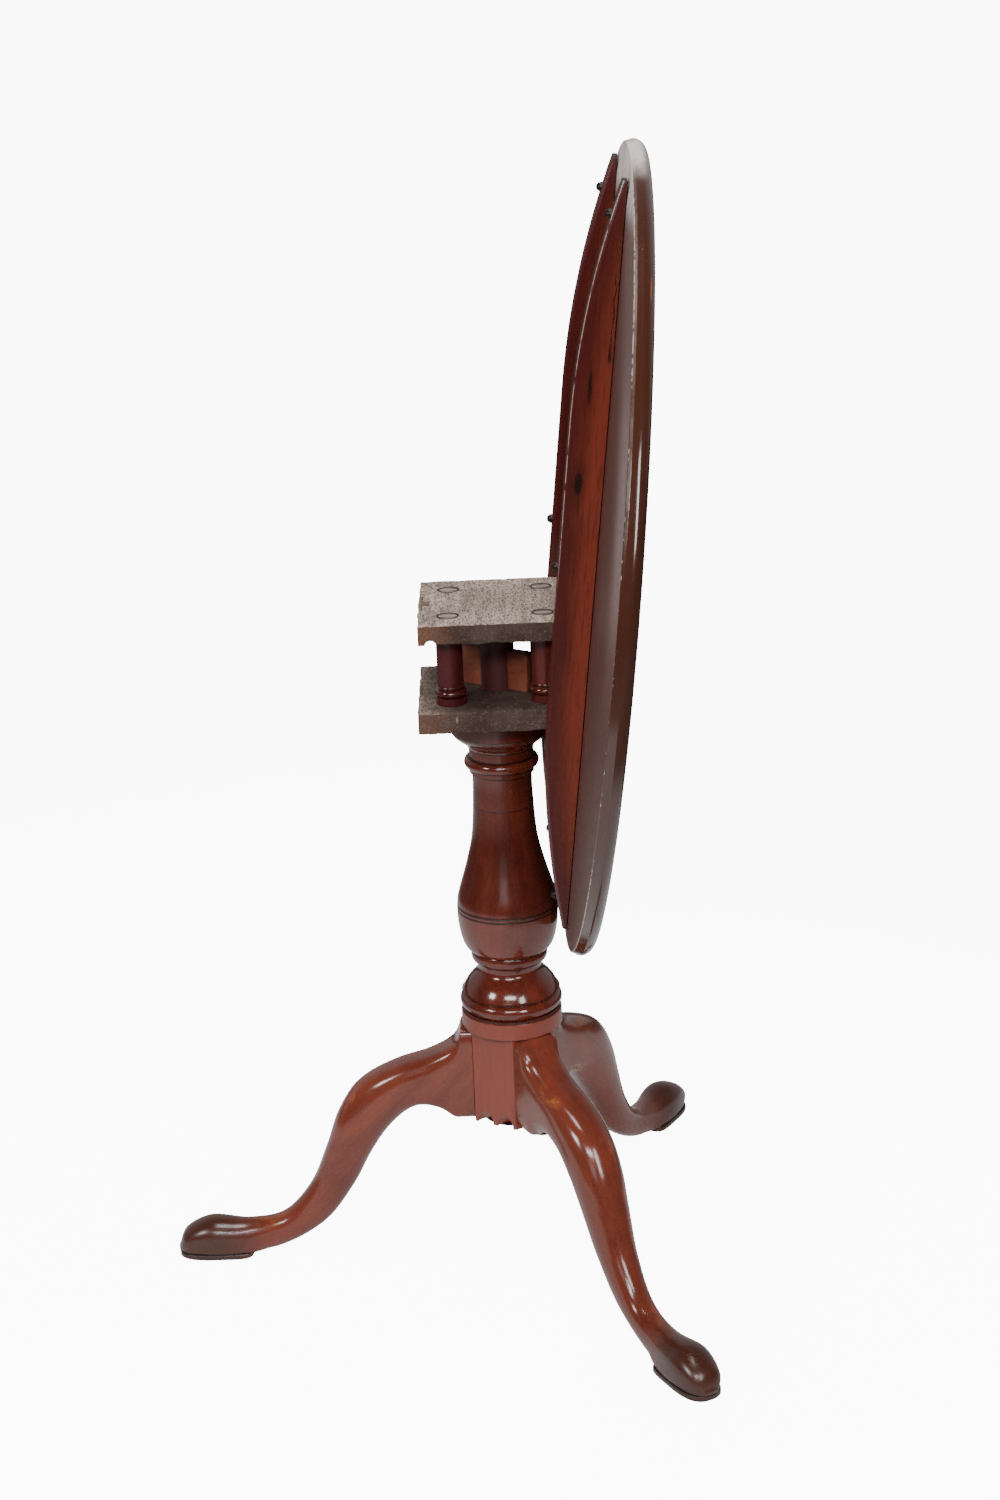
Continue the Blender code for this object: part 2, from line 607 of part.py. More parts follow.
def tenon_holes(bottom, top):
    """Round holes for the pillars' tenons in a block."""
    hole = (TENON_RADIUS + FIT, bottom - CUT_PAST, top + CUT_PAST, SMALL_SIDES)
    return joined([moved(rod(*hole), shift(x, y, 0)) for x, y in pillar_places().values()])


def upper_block(parent):
    """Upper board of the cage, with its pintles, its rounded hinge edge and the keeper's recess."""
    half = UPPER_THICK / 2
    outline = [(-UPPER_BACK, half), (-UPPER_BACK, -half)] + arc((HINGE_X, 0), (half, half), -90, 90, 10)
    board = prism(outline, -BLOCK_HALF_DEPTH, BLOCK_HALF_DEPTH)
    made = piece("cage_upper_block", moved(board, shift(0, 0, HINGE_Z) @ ALONG_Y), RAW, parent)
    reach = BEARER_INSIDE + BEARER_THICK - PINTLE_COVER - RUNNING_FIT
    pintles = moved(rod(PINTLE_RADIUS, -reach, reach, SHAFT_SIDES), shift(HINGE_X, 0, HINGE_Z) @ ALONG_Y)
    combine(made, "add_pintles", pintles, "UNION")
    combine(made, "cut_upper_tenons", tenon_holes(UPPER_BOTTOM, UPPER_TOP), "DIFFERENCE")
    socket_top = UPPER_BOTTOM + SPINDLE_SEAT
    socket = rod(SPINDLE_RADIUS + RUNNING_FIT, UPPER_BOTTOM - CUT_PAST, socket_top, SHAFT_SIDES)
    combine(made, "cut_spindle_socket", socket, "DIFFERENCE")
    inner = -UPPER_BACK + KEEPER_THICK + FIT
    side = KEEPER_LENGTH / 2 + FIT
    rebate_low = (-UPPER_BACK - CUT_PAST, -side, UPPER_TOP - KEEPER_HEIGHT - FIT)
    rebate = box(rebate_low, (inner, side, UPPER_TOP + CUT_PAST))
    combine(made, "cut_keeper_rebate", rebate, "DIFFERENCE")
    wide = BOLT_WIDTH / 2 + 2 * RUNNING_FIT
    pocket_low = (inner - FIT, -wide, HINGE_Z + BOLT_BOTTOM - RUNNING_FIT)
    pocket = box(pocket_low, (inner + POCKET_DEPTH, wide, UPPER_TOP + CUT_PAST))
    combine(made, "cut_bolt_pocket", pocket, "DIFFERENCE")
    combine(made, "cut_keeper_screws", keeper_screw_holes(), "DIFFERENCE")


def keeper_screw_places():
    """Where the keeper's two screws stand, each pointing into the block's edge."""
    into_edge = Matrix.Rotation(pi / 2, 4, "Y")
    return [shift(-UPPER_BACK, side * KEEPER_SCREW_SIDE, KEEPER_SCREW_HEIGHT) @ into_edge
            for side in (-1, 1)]


def keeper_screw_holes():
    """Holes for the keeper's screws, through the keeper and into the block."""
    hole = (CATCH_SCREW_RADIUS + FIT, -CUT_PAST, CATCH_SCREW_LENGTH + FIT, SCREW_SIDES)
    return joined([moved(rod(*hole), place) for place in keeper_screw_places()])


def keeper(parent):
    """Metal keeper let into the latch edge, pierced for the bolt, with its two screws."""
    low = (-UPPER_BACK, -KEEPER_LENGTH / 2, UPPER_TOP - KEEPER_HEIGHT)
    high = (-UPPER_BACK + KEEPER_THICK, KEEPER_LENGTH / 2, UPPER_TOP)
    made = piece("catch_keeper", box(low, high), BRASS, parent)
    wide = BOLT_WIDTH / 2 + 2 * RUNNING_FIT
    hole_low = (low[0] - CUT_PAST, -wide, HINGE_Z + BOLT_BOTTOM - RUNNING_FIT)
    hole = box(hole_low, (high[0] + CUT_PAST, wide, HINGE_Z + BOLT_TOP + RUNNING_FIT))
    combine(made, "cut_keeper_hole", hole, "DIFFERENCE")
    combine(made, "cut_keeper_ends", keeper_screw_holes(), "DIFFERENCE")
    for name, place in zip(("keeper_screw_front", "keeper_screw_back"), keeper_screw_places()):
        piece(name, moved(catch_screw(CATCH_SCREW_LENGTH, -FIT), place), BRASS, parent)


def lower_block(parent):
    """Lower board of the cage, turning on the spindle. The raised top leans on its hinge edge."""
    board = box((-LOWER_BACK, -BLOCK_HALF_DEPTH, LOWER_BOTTOM), (STOP_X, BLOCK_HALF_DEPTH, LOWER_TOP))
    made = piece("cage_lower_block", board, RAW, parent)
    combine(made, "cut_lower_tenons", tenon_holes(LOWER_BOTTOM, LOWER_TOP), "DIFFERENCE")
    bore = rod(SPINDLE_RADIUS + RUNNING_FIT, LOWER_BOTTOM - CUT_PAST, LOWER_TOP + CUT_PAST, SHAFT_SIDES)
    combine(made, "cut_spindle_bore", bore, "DIFFERENCE")


def pillar_profile():
    """Outline of a pillar and its two tenons, from the upper tenon down."""
    top = UPPER_BOTTOM - FIT
    bottom = LOWER_TOP + FIT
    head = top - PILLAR_HEAD_HEIGHT
    plinth = bottom + PILLAR_PLINTH_HEIGHT
    base = bottom + PILLAR_BASE_HEIGHT
    torus = (PILLAR_BASE_HEIGHT - PILLAR_PLINTH_HEIGHT) * 0.4
    waist = PILLAR_RADIUS - PILLAR_TAPER
    cap = PILLAR_HEAD_RADIUS - waist
    points = [(0, UPPER_TOP), (TENON_RADIUS, UPPER_TOP), (TENON_RADIUS, top), (PILLAR_HEAD_RADIUS, top)]
    points += arc((waist, top - 0.3 * PILLAR_HEAD_HEIGHT), (cap, 0.4 * PILLAR_HEAD_HEIGHT), 0, -90, 2)
    points += arc((waist, head + PILLAR_BEAD), (PILLAR_BEAD, PILLAR_BEAD), 70, -70, 2)
    points += [(waist, head), (PILLAR_RADIUS, base + PILLAR_BEAD), (PILLAR_RADIUS + PILLAR_TAPER, base)]
    points += arc((PILLAR_BASE_RADIUS - torus, plinth + torus), (torus, torus), 70, -70, 3)
    points += [(PILLAR_BASE_RADIUS - PILLAR_TAPER, plinth), (PILLAR_BASE_RADIUS - PILLAR_TAPER, bottom)]
    points += [(TENON_RADIUS, bottom), (TENON_RADIUS, LOWER_BOTTOM), (0, LOWER_BOTTOM)]
    return points


def tenon_wedges():
    """Wedges driven into the ends of a pillar's upper and lower tenon."""
    thick = TENON_WEDGE_THICK / 2
    half = TENON_RADIUS - TENON_WEDGE_INSET
    upper = box((-half, -thick, UPPER_TOP - TENON_WEDGE_DEPTH), (half, thick, UPPER_TOP))
    lower = box((-half, -thick, LOWER_BOTTOM), (half, thick, LOWER_BOTTOM + TENON_WEDGE_DEPTH))
    return upper, lower


def tenon_slots():
    """Slots right across a pillar's tenons, for their wedges."""
    thick = TENON_WEDGE_THICK / 2 + FIT
    half = TENON_RADIUS + FIT
    depth = TENON_WEDGE_DEPTH + FIT
    upper = box((-half, -thick, UPPER_TOP - depth), (half, thick, UPPER_TOP + CUT_PAST))
    lower = box((-half, -thick, LOWER_BOTTOM - CUT_PAST), (half, thick, LOWER_BOTTOM + depth))
    return joined([upper, lower])


def pillars(parent):
    """Four turned pillars, tenoned through both blocks and wedged."""
    for name, (x, y) in pillar_places().items():
        place = shift(x, y, 0)
        pillar = moved(lathe(pillar_profile(), SMALL_SIDES), place)
        made = piece("cage_pillar_" + name, pillar, POLISHED, parent)
        combine(made, "cut_slots_" + name, moved(tenon_slots(), place), "DIFFERENCE")
        for end, wedge in zip(("upper", "lower"), tenon_wedges()):
            piece(f"tenon_wedge_{end}_{name}", moved(wedge, place), FRESH, parent)


def top_profile():
    """Section of the round top from its upper face, round the rim, to its underside."""
    face = UNDERSIDE + TOP_THICK
    points = [(0, face)]
    points += arc((TOP_RADIUS - RIM_RUN, face - RIM_FALL), (RIM_RUN, RIM_FALL), 90, 0, 5)
    points += [(TOP_ARRIS_RADIUS, UNDERSIDE + TOP_ARRIS_RISE)]
    points += [(TOP_ARRIS_RADIUS - TOP_BEVEL_WIDTH, UNDERSIDE), (0, UNDERSIDE)]
    return points


def bearer_depth(along):
    """Depth of a bearer below the top, at a distance from the middle of its length."""
    run = BEARER_HALF_LENGTH - BEARER_FLAT_HALF_LENGTH
    share = max(0.0, (abs(along) - BEARER_FLAT_HALF_LENGTH) / run)
    return BEARER_END_DEPTH + (BEARER_DEPTH - BEARER_END_DEPTH) * (1 - share * share)


def bearer_screw_places():
    """Along and across places of the bearer screws, from the middle of the bearers."""
    return [(along, side) for side in (-1, 1) for along in (-SCREW_OFFSET, 0.0, SCREW_OFFSET)]


def screw_seat(along):
    """Height of the flat under a bearer screw's head."""
    return BEARER_TOP - bearer_depth(along) + SCREW_SEAT


def bearer_screw(along):
    """A screw through a bearer into the top."""
    seat = screw_seat(along) - FIT
    tip = UNDERSIDE + SCREW_BITE
    return screw_mesh(tip, seat, SCREW_SHANK_RADIUS, SCREW_HEAD_RADIUS, SCREW_HEAD_HEIGHT)


def bearer_screw_hole(along):
    """Hole for a bearer screw, with the seat of its head."""
    seat = screw_seat(along)
    tip = UNDERSIDE + SCREW_BITE + FIT
    shank = SCREW_SHANK_RADIUS + FIT
    head = SCREW_HEAD_RADIUS + FIT
    mouth = seat - CUT_PAST
    profile = [(0, tip), (shank, tip), (shank, seat), (head, seat), (head, mouth), (0, mouth)]
    return lathe(profile, SCREW_SIDES)


def table_top(tilt):
    """The round top, drilled for the bearer screws and the catch's screws."""
    disc = moved(lathe(top_profile(), TOP_SIDES), shift(-HINGE_TO_CENTRE, 0, 0))
    made = piece("table_top", disc, SATIN, tilt)
    holes = [moved(bearer_screw_hole(along), shift(BEARER_ALONG + along, side * BEARER_ACROSS, 0))
             for along, side in bearer_screw_places()]
    combine(made, "cut_top_screws", joined(holes), "DIFFERENCE")
    combine(made, "cut_top_catch_screws", catch_screw_holes(), "DIFFERENCE")


def bearers(tilt):
    """Two long bearers that carry the top on the pintles, and the screws that hold them."""
    steps = 7
    run = BEARER_HALF_LENGTH - BEARER_FLAT_HALF_LENGTH
    ramp = [BEARER_FLAT_HALF_LENGTH + run * k / steps for k in range(steps + 1)]
    alongs = [-along for along in reversed(ramp)] + ramp
    outline = [(BEARER_HALF_LENGTH, BEARER_TOP), (-BEARER_HALF_LENGTH, BEARER_TOP)]
    outline += [(along, BEARER_TOP - bearer_depth(along)) for along in alongs]
    for name, side in (("bearer_front", -1), ("bearer_back", 1)):
        bar = prism(outline, -BEARER_THICK / 2, BEARER_THICK / 2)
        lower = [edge for edge in bar.edges if all(vert.co.y < BEARER_TOP - FIT for vert in edge.verts)
                 and abs(edge.verts[0].co.z - edge.verts[1].co.z) < FIT]
        bmesh.ops.bevel(bar, geom=lower, offset=BEARER_EDGE_ROUND, segments=1, affect="EDGES")
        place = shift(BEARER_ALONG, side * BEARER_ACROSS, 0)
        made = piece(name, moved(bar, place @ ALONG_Y), POLISHED, tilt)
        bore = rod(PINTLE_RADIUS + RUNNING_FIT, -BEARER_THICK, BEARER_THICK, SHAFT_SIDES)
        bore = moved(bore, shift(0, side * (BEARER_INSIDE - PINTLE_COVER), 0) @ ALONG_Y)
        combine(made, "cut_pintle_" + name, bore, "DIFFERENCE")
        holes = [moved(bearer_screw_hole(along), place @ shift(along, 0, 0))
                 for along, across in bearer_screw_places() if across == side]
        combine(made, "cut_screws_" + name, joined(holes), "DIFFERENCE")
    for number, (along, side) in enumerate(bearer_screw_places(), 1):
        place = shift(BEARER_ALONG + along, side * BEARER_ACROSS, 0)
        piece(f"bearer_screw_{number}", moved(bearer_screw(along), place), IRON, tilt)


def catch_screw(tip, seat):
    """A small screw of the catch or of its keeper."""
    return screw_mesh(tip, seat, CATCH_SCREW_RADIUS, CATCH_SCREW_HEAD_RADIUS, CATCH_SCREW_HEAD_HEIGHT)


def catch_screw_places():
    """Corners of the catch's plate where its screws stand."""
    along = CATCH_PLATE_LENGTH / 2 - CATCH_SCREW_INSET
    across = CATCH_PLATE_WIDTH / 2 - CATCH_SCREW_INSET
    return [shift(CATCH_MIDDLE + end * along, side * across, 0) for end in (-1, 1) for side in (-1, 1)]


def catch_screw_holes():
    """Holes for the catch's screws, through its plate and into the top."""
    tip = CATCH_FACE + CATCH_SCREW_LENGTH + FIT
    hole = (CATCH_SCREW_RADIUS + FIT, CATCH_FACE - CUT_PAST, tip, SCREW_SIDES)
    return joined([moved(rod(*hole), place) for place in catch_screw_places()])


def catch(tilt, bolt_axis):
    """Sliding catch: a plate with two guides, a bolt with its knob, and the plate's screws."""
    half = CATCH_PLATE_WIDTH / 2
    plate_low = (CATCH_EDGE - CATCH_PLATE_LENGTH, -half, CATCH_FACE)
    plate = box(plate_low, (CATCH_EDGE, half, CATCH_FACE + CATCH_PLATE_THICK))
    made = piece("catch_plate", plate, BRASS, tilt)
    combine(made, "cut_catch_plate", catch_screw_holes(), "DIFFERENCE")
    for number, place in enumerate(catch_screw_places(), 1):
        screw = catch_screw(CATCH_FACE + CATCH_SCREW_LENGTH, CATCH_FACE - FIT)
        piece(f"catch_screw_{number}", moved(screw, place), BRASS, tilt)
    for name, end in (("catch_guide_outer", -1), ("catch_guide_inner", 1)):
        guide = prism(guide_outline(), -GUIDE_LENGTH / 2, GUIDE_LENGTH / 2)
        place = shift(CATCH_MIDDLE + end * GUIDE_SPACING / 2, 0, 0) @ ACROSS_X
        piece(name, moved(guide, place), BRASS, tilt)
    half = BOLT_WIDTH / 2
    bolt = box((CATCH_EDGE - BOLT_LENGTH, -half, BOLT_BOTTOM), (CATCH_EDGE, half, BOLT_TOP))
    nose = [edge for edge in bolt.edges if all(vert.co.x > CATCH_EDGE - FIT for vert in edge.verts)]
    bmesh.ops.bevel(bolt, geom=nose, offset=BOLT_THICK / 4, segments=1, affect="EDGES")
    piece("catch_bolt", bolt, BRASS, bolt_axis)
    knob = moved(lathe(knob_profile(), SMALL_SIDES), shift(CATCH_MIDDLE - BOLT_TRAVEL / 2, 0, 0))
    piece("catch_knob", knob, BRASS, bolt_axis)


def guide_outline():
    """Section of a guide: a staple that holds the bolt up against the plate."""
    top = CATCH_FACE - FIT
    inside = BOLT_WIDTH / 2 + RUNNING_FIT
    floor = BOLT_BOTTOM - RUNNING_FIT
    outside = inside + GUIDE_WALL
    base = floor - GUIDE_WALL
    return [(-outside, top), (-outside, base), (outside, base), (outside, top),
            (inside, top), (inside, floor), (-inside, floor), (-inside, top)]


def knob_profile():
    """Turned outline of the bolt's knob, from its neck down."""
    seat = BOLT_BOTTOM - FIT
    points = [(0, seat), (KNOB_RADIUS / 2, seat), (KNOB_RADIUS / 2, seat - 0.4 * KNOB_HEIGHT)]
    points += arc((0, seat - 0.7 * KNOB_HEIGHT), (KNOB_RADIUS, 0.3 * KNOB_HEIGHT), 60, -60, 4)
    points += [(0, seat - KNOB_HEIGHT)]
    return points


def box_middle():
    """How far the column stands from the middle of the table's outer box, along X."""
    pad = TOE_REACH - PAD_HALF_LENGTH
    feet = []
    for angle in leg_angles():
        spread = hypot(PAD_HALF_LENGTH * cos(radians(angle)), PAD_HALF_WIDTH * sin(radians(angle)))
        feet += [pad * cos(radians(angle)) - spread, pad * cos(radians(angle)) + spread]
    top = HINGE_X + max((HINGE_TO_CENTRE + radius) * -cos(SWING) + height * sin(SWING)
                        for radius, height in top_profile())
    return (min(feet) + max(feet + [top])) / 2


def main():
    """Clear the scene and make every piece, each hung on the axis that it moves about."""
    for old in list(bpy.data.objects):
        bpy.data.objects.remove(old)
    table = empty("table", None, (-box_middle(), 0, 0))
    column(table)
    legs(table)
    base_plate(table)
    cage_key(table)
    swivel = empty("cage_axis", table, (0, 0, 0))
    upper_block(swivel)
    lower_block(swivel)
    pillars(swivel)
    keeper(swivel)
    tilt = empty("tilt_axis", swivel, (HINGE_X, 0, HINGE_Z))
    tilt.rotation_euler = (0, SWING, 0)
    table_top(tilt)
    bearers(tilt)
    bolt_axis = empty("bolt_axis", tilt, (0, 0, 0))
    catch(tilt, bolt_axis)


main()
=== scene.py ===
"""Looks of a tilt-top tripod table: every piece, its finish and the studio, laid out as an add-on.

Metres, +Z up. The solids are loaded first, and each piece is modelled where its solid stands.
Column, legs and cage are modelled about the column's axis. The top and what is fixed to it are
modelled lowered, from the pintles, and then swung up.
"""
import json
from functools import reduce
from math import atan2, cos, pi, radians, sin

import bmesh
import bpy
from bpy.props import FloatProperty, FloatVectorProperty, PointerProperty
from mathutils import Euler, Matrix, Vector, noise


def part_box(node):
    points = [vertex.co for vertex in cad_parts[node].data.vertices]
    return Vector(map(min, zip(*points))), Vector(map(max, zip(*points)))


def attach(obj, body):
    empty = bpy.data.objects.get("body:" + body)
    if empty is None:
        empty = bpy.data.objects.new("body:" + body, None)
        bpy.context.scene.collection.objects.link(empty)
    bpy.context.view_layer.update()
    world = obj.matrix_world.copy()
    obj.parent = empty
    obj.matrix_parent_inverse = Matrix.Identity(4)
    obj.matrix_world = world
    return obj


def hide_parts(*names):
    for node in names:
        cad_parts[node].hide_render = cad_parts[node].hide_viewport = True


bl_info = {
    "name": "Tripod Table",
    "version": (1, 0, 0),
    "blender": (4, 5, 0),
    "location": "3D View > Sidebar > Table",
    "description": "Models the pieces of a tilt-top tripod table, finishes them and lights them",
    "category": "Object",
}

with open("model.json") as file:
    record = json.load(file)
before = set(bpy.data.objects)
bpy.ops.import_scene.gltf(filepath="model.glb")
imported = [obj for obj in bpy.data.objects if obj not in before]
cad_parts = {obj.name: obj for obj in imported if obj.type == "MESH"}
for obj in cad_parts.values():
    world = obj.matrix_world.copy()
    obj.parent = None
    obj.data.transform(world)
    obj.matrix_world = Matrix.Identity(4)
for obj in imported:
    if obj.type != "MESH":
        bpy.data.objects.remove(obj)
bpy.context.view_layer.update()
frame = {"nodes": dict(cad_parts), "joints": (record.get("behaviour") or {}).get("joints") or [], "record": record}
JOINTS = {joint["name"]: joint for joint in frame["joints"]}
BODY_OF = {node: body for body, nodes in frame["record"]["behaviour"]["bodies"].items() for node in nodes}

# Axes of the table
AXIS = Vector((JOINTS["cage_swivel"]["pos_m"][0], JOINTS["cage_swivel"]["pos_m"][1], 0.0))
HINGE = Vector(JOINTS["top_tilt"]["pos_m"])
SWING = radians(JOINTS["top_tilt"]["range_deg"][1])
UPRIGHT = Matrix.Translation(AXIS)
RAISED = Matrix.Translation(HINGE) @ Matrix.Rotation(SWING, 4, "Y")

# Clearances, as on the solids
FIT = 0.0003
RUNNING_FIT = 0.0005
CUT_PAST = 0.005
MERGE = 0.000002

# Heights and radii up the column
CORE_BOTTOM, SPINDLE_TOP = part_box("column")[0].z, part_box("column")[1].z
CORE_APOTHEM = 0.0407
CORE_SIDES = 6
DRUM_BASE = 0.2515
DRUM_TOP = 0.2680
DRUM_RADIUS = 0.0503
GROOVE_DEPTH = 0.0018
TORUS_BASE = 0.2700
TORUS_TOP = 0.2870
TORUS_SWELL = 0.0006
OGEE_BASE = 0.2885
OGEE_SET_BACK = 0.0012
BEAD_SET_BACK = 0.0022
# Radius and height of points down the flare
FLARE = ((0.0326, 0.3190), (0.0318, 0.3160), (0.0318, 0.3130), (0.0334, 0.3095), (0.0372, 0.3052),
         (0.0415, 0.3005), (0.0449, 0.2955), (0.0473, 0.2908), (0.0481, 0.2885))
RING_BASE = 0.3210
RING_RADIUS = 0.0380
BOWL_BASE = 0.3335
SWELL_LINE = 0.3765
SWELL_RADIUS = 0.0500
SWELL_BAND = 0.0042             # plain band between the two lines cut round the swell
INCISION = 0.0009
NECK_LINE = 0.4847              # faint line left by the lathe
VASE_HEIGHT = 0.1415
# Share of the swell and share of the height of points down the vase
VASE_CURVE = ((0.0, 0.87), (0.13, 0.56), (0.44, 0.345), (0.90, 0.115))
FILLET_BASE = SWELL_LINE + VASE_HEIGHT
NECK_RADIUS = 0.0292
NECK_FILLET = 0.0022
UPPER_RING_BASE = 0.5235
UPPER_RING_RADIUS = 0.0365
UPPER_NECK = 0.5350
CAP_BASE = 0.5435
CAP_BAND = 0.5610
CAP_TOP = 0.5831
CAP_RADIUS = 0.0485
CAP_SET_BACK = 0.0012
SPINDLE_RADIUS = 0.0163
GOUGE_RADIUS = 0.0090
GOUGE_SPACING = 0.0230
GOUGE_LEAN = radians(45.0)
GOUGE_SIDES = 40
COLUMN_SIDES = 112
DARK_GROOVES = (DRUM_BASE - 0.0005, TORUS_BASE - 0.0008, TORUS_TOP + 0.0006, RING_BASE + 0.0004,
                BOWL_BASE - 0.0003, SWELL_LINE, SWELL_LINE + SWELL_BAND, FILLET_BASE + 0.0004,
                UPPER_RING_BASE + 0.0004, UPPER_NECK, CAP_BASE + 0.0004, CAP_BAND)

# Legs
LEGS = {"leg_left": radians(179.0), "leg_front": radians(299.0), "leg_back": radians(59.0)}
FULLNESS = {"leg_left": 0.0, "leg_front": 0.0, "leg_back": 0.0090}
LEG_HALF_WIDTH = 0.0230
LEG_ROOT = 0.0520
TOE_REACH = 0.3535
TOE_DOME = 0.0014
LEG_SIDES = 40
LEG_STEPS = 6                   # rings from one row of the curve to the next
HOLLOW_START, HOLLOW_END = 6, 42    # rings between which the knee's hollow is filled
TOE_TURNS = (30.0, 60.0, 82.0)
FOOT_LIMITS = (0.255, 0.285)    # distances out over which the scratched foot begins
TOE_LIMITS = (0.250, 0.310)
SOLE_LIMITS = (0.0024, 0.0008)
ROOT_SQUARENESS = 5.7           # 2 is an ellipse, more is squarer
FOOT_SQUARENESS = 2.2
SOLE_SQUARENESS = 7.0
# Reach and height of the upper edge, reach and height of the lower edge, and width, as shares
LEG_CURVE = ((0.000, 1.000, 0.000, 1.000, 1.00), (0.027, 0.928, 0.033, 1.000, 1.00),
             (0.107, 0.874, 0.080, 1.065, 1.01), (0.233, 0.828, 0.143, 1.090, 1.06),
             (0.353, 0.752, 0.200, 1.028, 1.11), (0.427, 0.624, 0.263, 0.905, 1.08),
             (0.473, 0.474, 0.323, 0.725, 0.97), (0.537, 0.300, 0.387, 0.490, 0.81),
             (0.637, 0.170, 0.493, 0.218, 0.67), (0.760, 0.143, 0.660, 0.036, 0.68),
             (0.887, 0.156, 0.833, 0.020, 0.93), (0.973, 0.110, 0.950, 0.020, 0.75),
             (1.000, 0.042, 0.993, 0.027, 0.36))
PAD_HALF_LENGTH = 0.0387
PAD_HALF_WIDTH = 0.0215
PAD_THICK = 0.0055
# Inset and height of the rings up a pad
PAD_EDGE = ((0.0005, 0.0), (0.0, 0.0006), (0.0, PAD_THICK - 0.0014), (0.0004, PAD_THICK - 0.0004),
            (0.0014, PAD_THICK))
PAD_SIDES = 72
PAD_TOE_SQUARENESS = 2.6
PAD_HEEL_SQUARENESS = 5.0
HEEL_RUN = 0.0240               # length over which the foot's underside turns flat at its heel
TONGUE_LENGTH = 0.0140
TONGUE_NECK = 0.0180
TONGUE_TAIL = 0.0260
TONGUE_HEIGHT = 0.0840
# Lighter orange patches on the knees and the near foot: rubbed polish, and painted highlights on the upward-facing
# ridge
LEG_RUBS_AND_HIGHLIGHTS = (((0.1000, -0.0160, 0.2120), (0.022, 0.008, 0.020), 1.0),    # centre, radii, strength
            ((0.1645, 0.0092, 0.1787), (0.020, 0.010, 0.016), 1.0),
            ((0.2620, 0.0060, 0.0400), (0.034, 0.014, 0.020), 0.5))

# Birdcage, from the column's axis
LOWER_LOW, LOWER_HIGH = (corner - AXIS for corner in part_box("cage_lower_block"))
UPPER_LOW, UPPER_HIGH = (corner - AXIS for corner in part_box("cage_upper_block"))
BLOCK_HALF_DEPTH = LOWER_HIGH.y
HINGE_REACH = HINGE.x - AXIS.x
PINTLE_RADIUS = 0.0068
PINTLE_COVER = 0.0040           # wood left outside each pintle's blind bore
PILLAR_PLACE = 0.0446
PILLARS = {"front_left": (-1, -1), "front_right": (1, -1), "back_left": (-1, 1), "back_right": (1, 1)}
PILLAR_RADIUS = 0.0124
PILLAR_COLLAR_RADIUS = 0.0129
PILLAR_COLLAR_HEIGHT = 0.0034
PILLAR_BASE_RADIUS = 0.0150
PILLAR_BASE_HEIGHT = 0.0165
PILLAR_PLINTH_RADIUS = 0.0146
PILLAR_PLINTH_HEIGHT = 0.0074
PILLAR_BEAD = 0.0014
TENON_RADIUS = 0.0095
WEDGE_THICK = 0.0018
WEDGE_DEPTH = 0.0110
SPINDLE_SEAT = 0.0080
KEY_THICK = 0.0105
KEY_HALF_LENGTH = 0.0406
KEY_TURN = radians(-34.0)
KEY_RISE = 1.08                 # height of the key against its solid
KEY_WEAR = 0.0040               # wood broken off its far end
MORTISE_DROP = 0.0015
MORTISE_RISE = 0.0030
CHIP_PLACE = Vector((-0.0612, -0.0770, 0.6704))
CHIP_RADII = Vector((0.0052, 0.0170, 0.0046))
NICK_PLACE = Vector((-0.03968, -BLOCK_HALF_DEPTH, 0.5971))
NICK_RADII = Vector((0.0016, 0.0060, 0.0040))
BOARD_CUTS = 70
UPPER_SEED, LOWER_SEED = 3.0, 11.0
WEAR_LEAST = 0.30
WEAR_COARSE = 55.0              # waves of wear along a board's edge, per metre
WEAR_FINE = 190.0
WEAR_FINE_SHARE = 0.6
BORE_SIDES = 48
TENON_SIDES = 40
PILLAR_SIDES = 56

# Top and bearers, lowered, from the pintles
UNDERSIDE = 0.00985
TOP_THICK = 0.0208
TOP_CENTRE = -0.0563
TOP_RADIUS = 0.3823
ARRIS_RADIUS = 0.3797
ARRIS_RISE = 0.0024
WORN_STRIP = 0.0026             # height of the rubbed edge above the arris
ARRIS_FLAT = 0.0004
BEVEL_WIDTH = 0.0280
RIM_RUN = 0.0100
RIM_FALL = 0.0106
TOP_SIDES = 192
RIM_LIMITS = (0.3675, 0.3720)   # radii over which the dark rim begins
RIM_SCRATCH = ((-0.3450, -0.2450, 0.0265), (0.016, 0.020, 0.0005))      # centre, radii
BEARER_MIDDLE = -0.0623
BEARER_INSIDE = BLOCK_HALF_DEPTH + RUNNING_FIT
BEARER_THICK = 0.0230
BEARER_ACROSS = BEARER_INSIDE + BEARER_THICK / 2
BEARER_TOP = UNDERSIDE - FIT
BEARER_DEPTH = 0.0350
BEARER_HALF_LENGTH = 0.3525
BEARER_FLAT = 0.1300
BEARER_END_DEPTH = 0.0045
BEARER_STEPS = 96
KNOTS = (((-0.1437, -0.1005, -0.0132), (0.017, 0.02, 0.0058), 1.0),     # centre, radii, strength
         ((-0.1437, -0.1005, -0.0132), (0.036, 0.02, 0.0110), 0.35),
         ((-0.2316, -0.1005, -0.0093), (0.022, 0.02, 0.0030), 0.8),
         ((0.0700, 0.0890, -0.0080), (0.015, 0.03, 0.0040), 1.0))
SCREW_PLACES = (-0.3220, 0.0, 0.3220)
SCREW_SEAT = 0.0012
SCREW_SEAT_RADIUS = 0.0049
SEAT_SIDES = 28

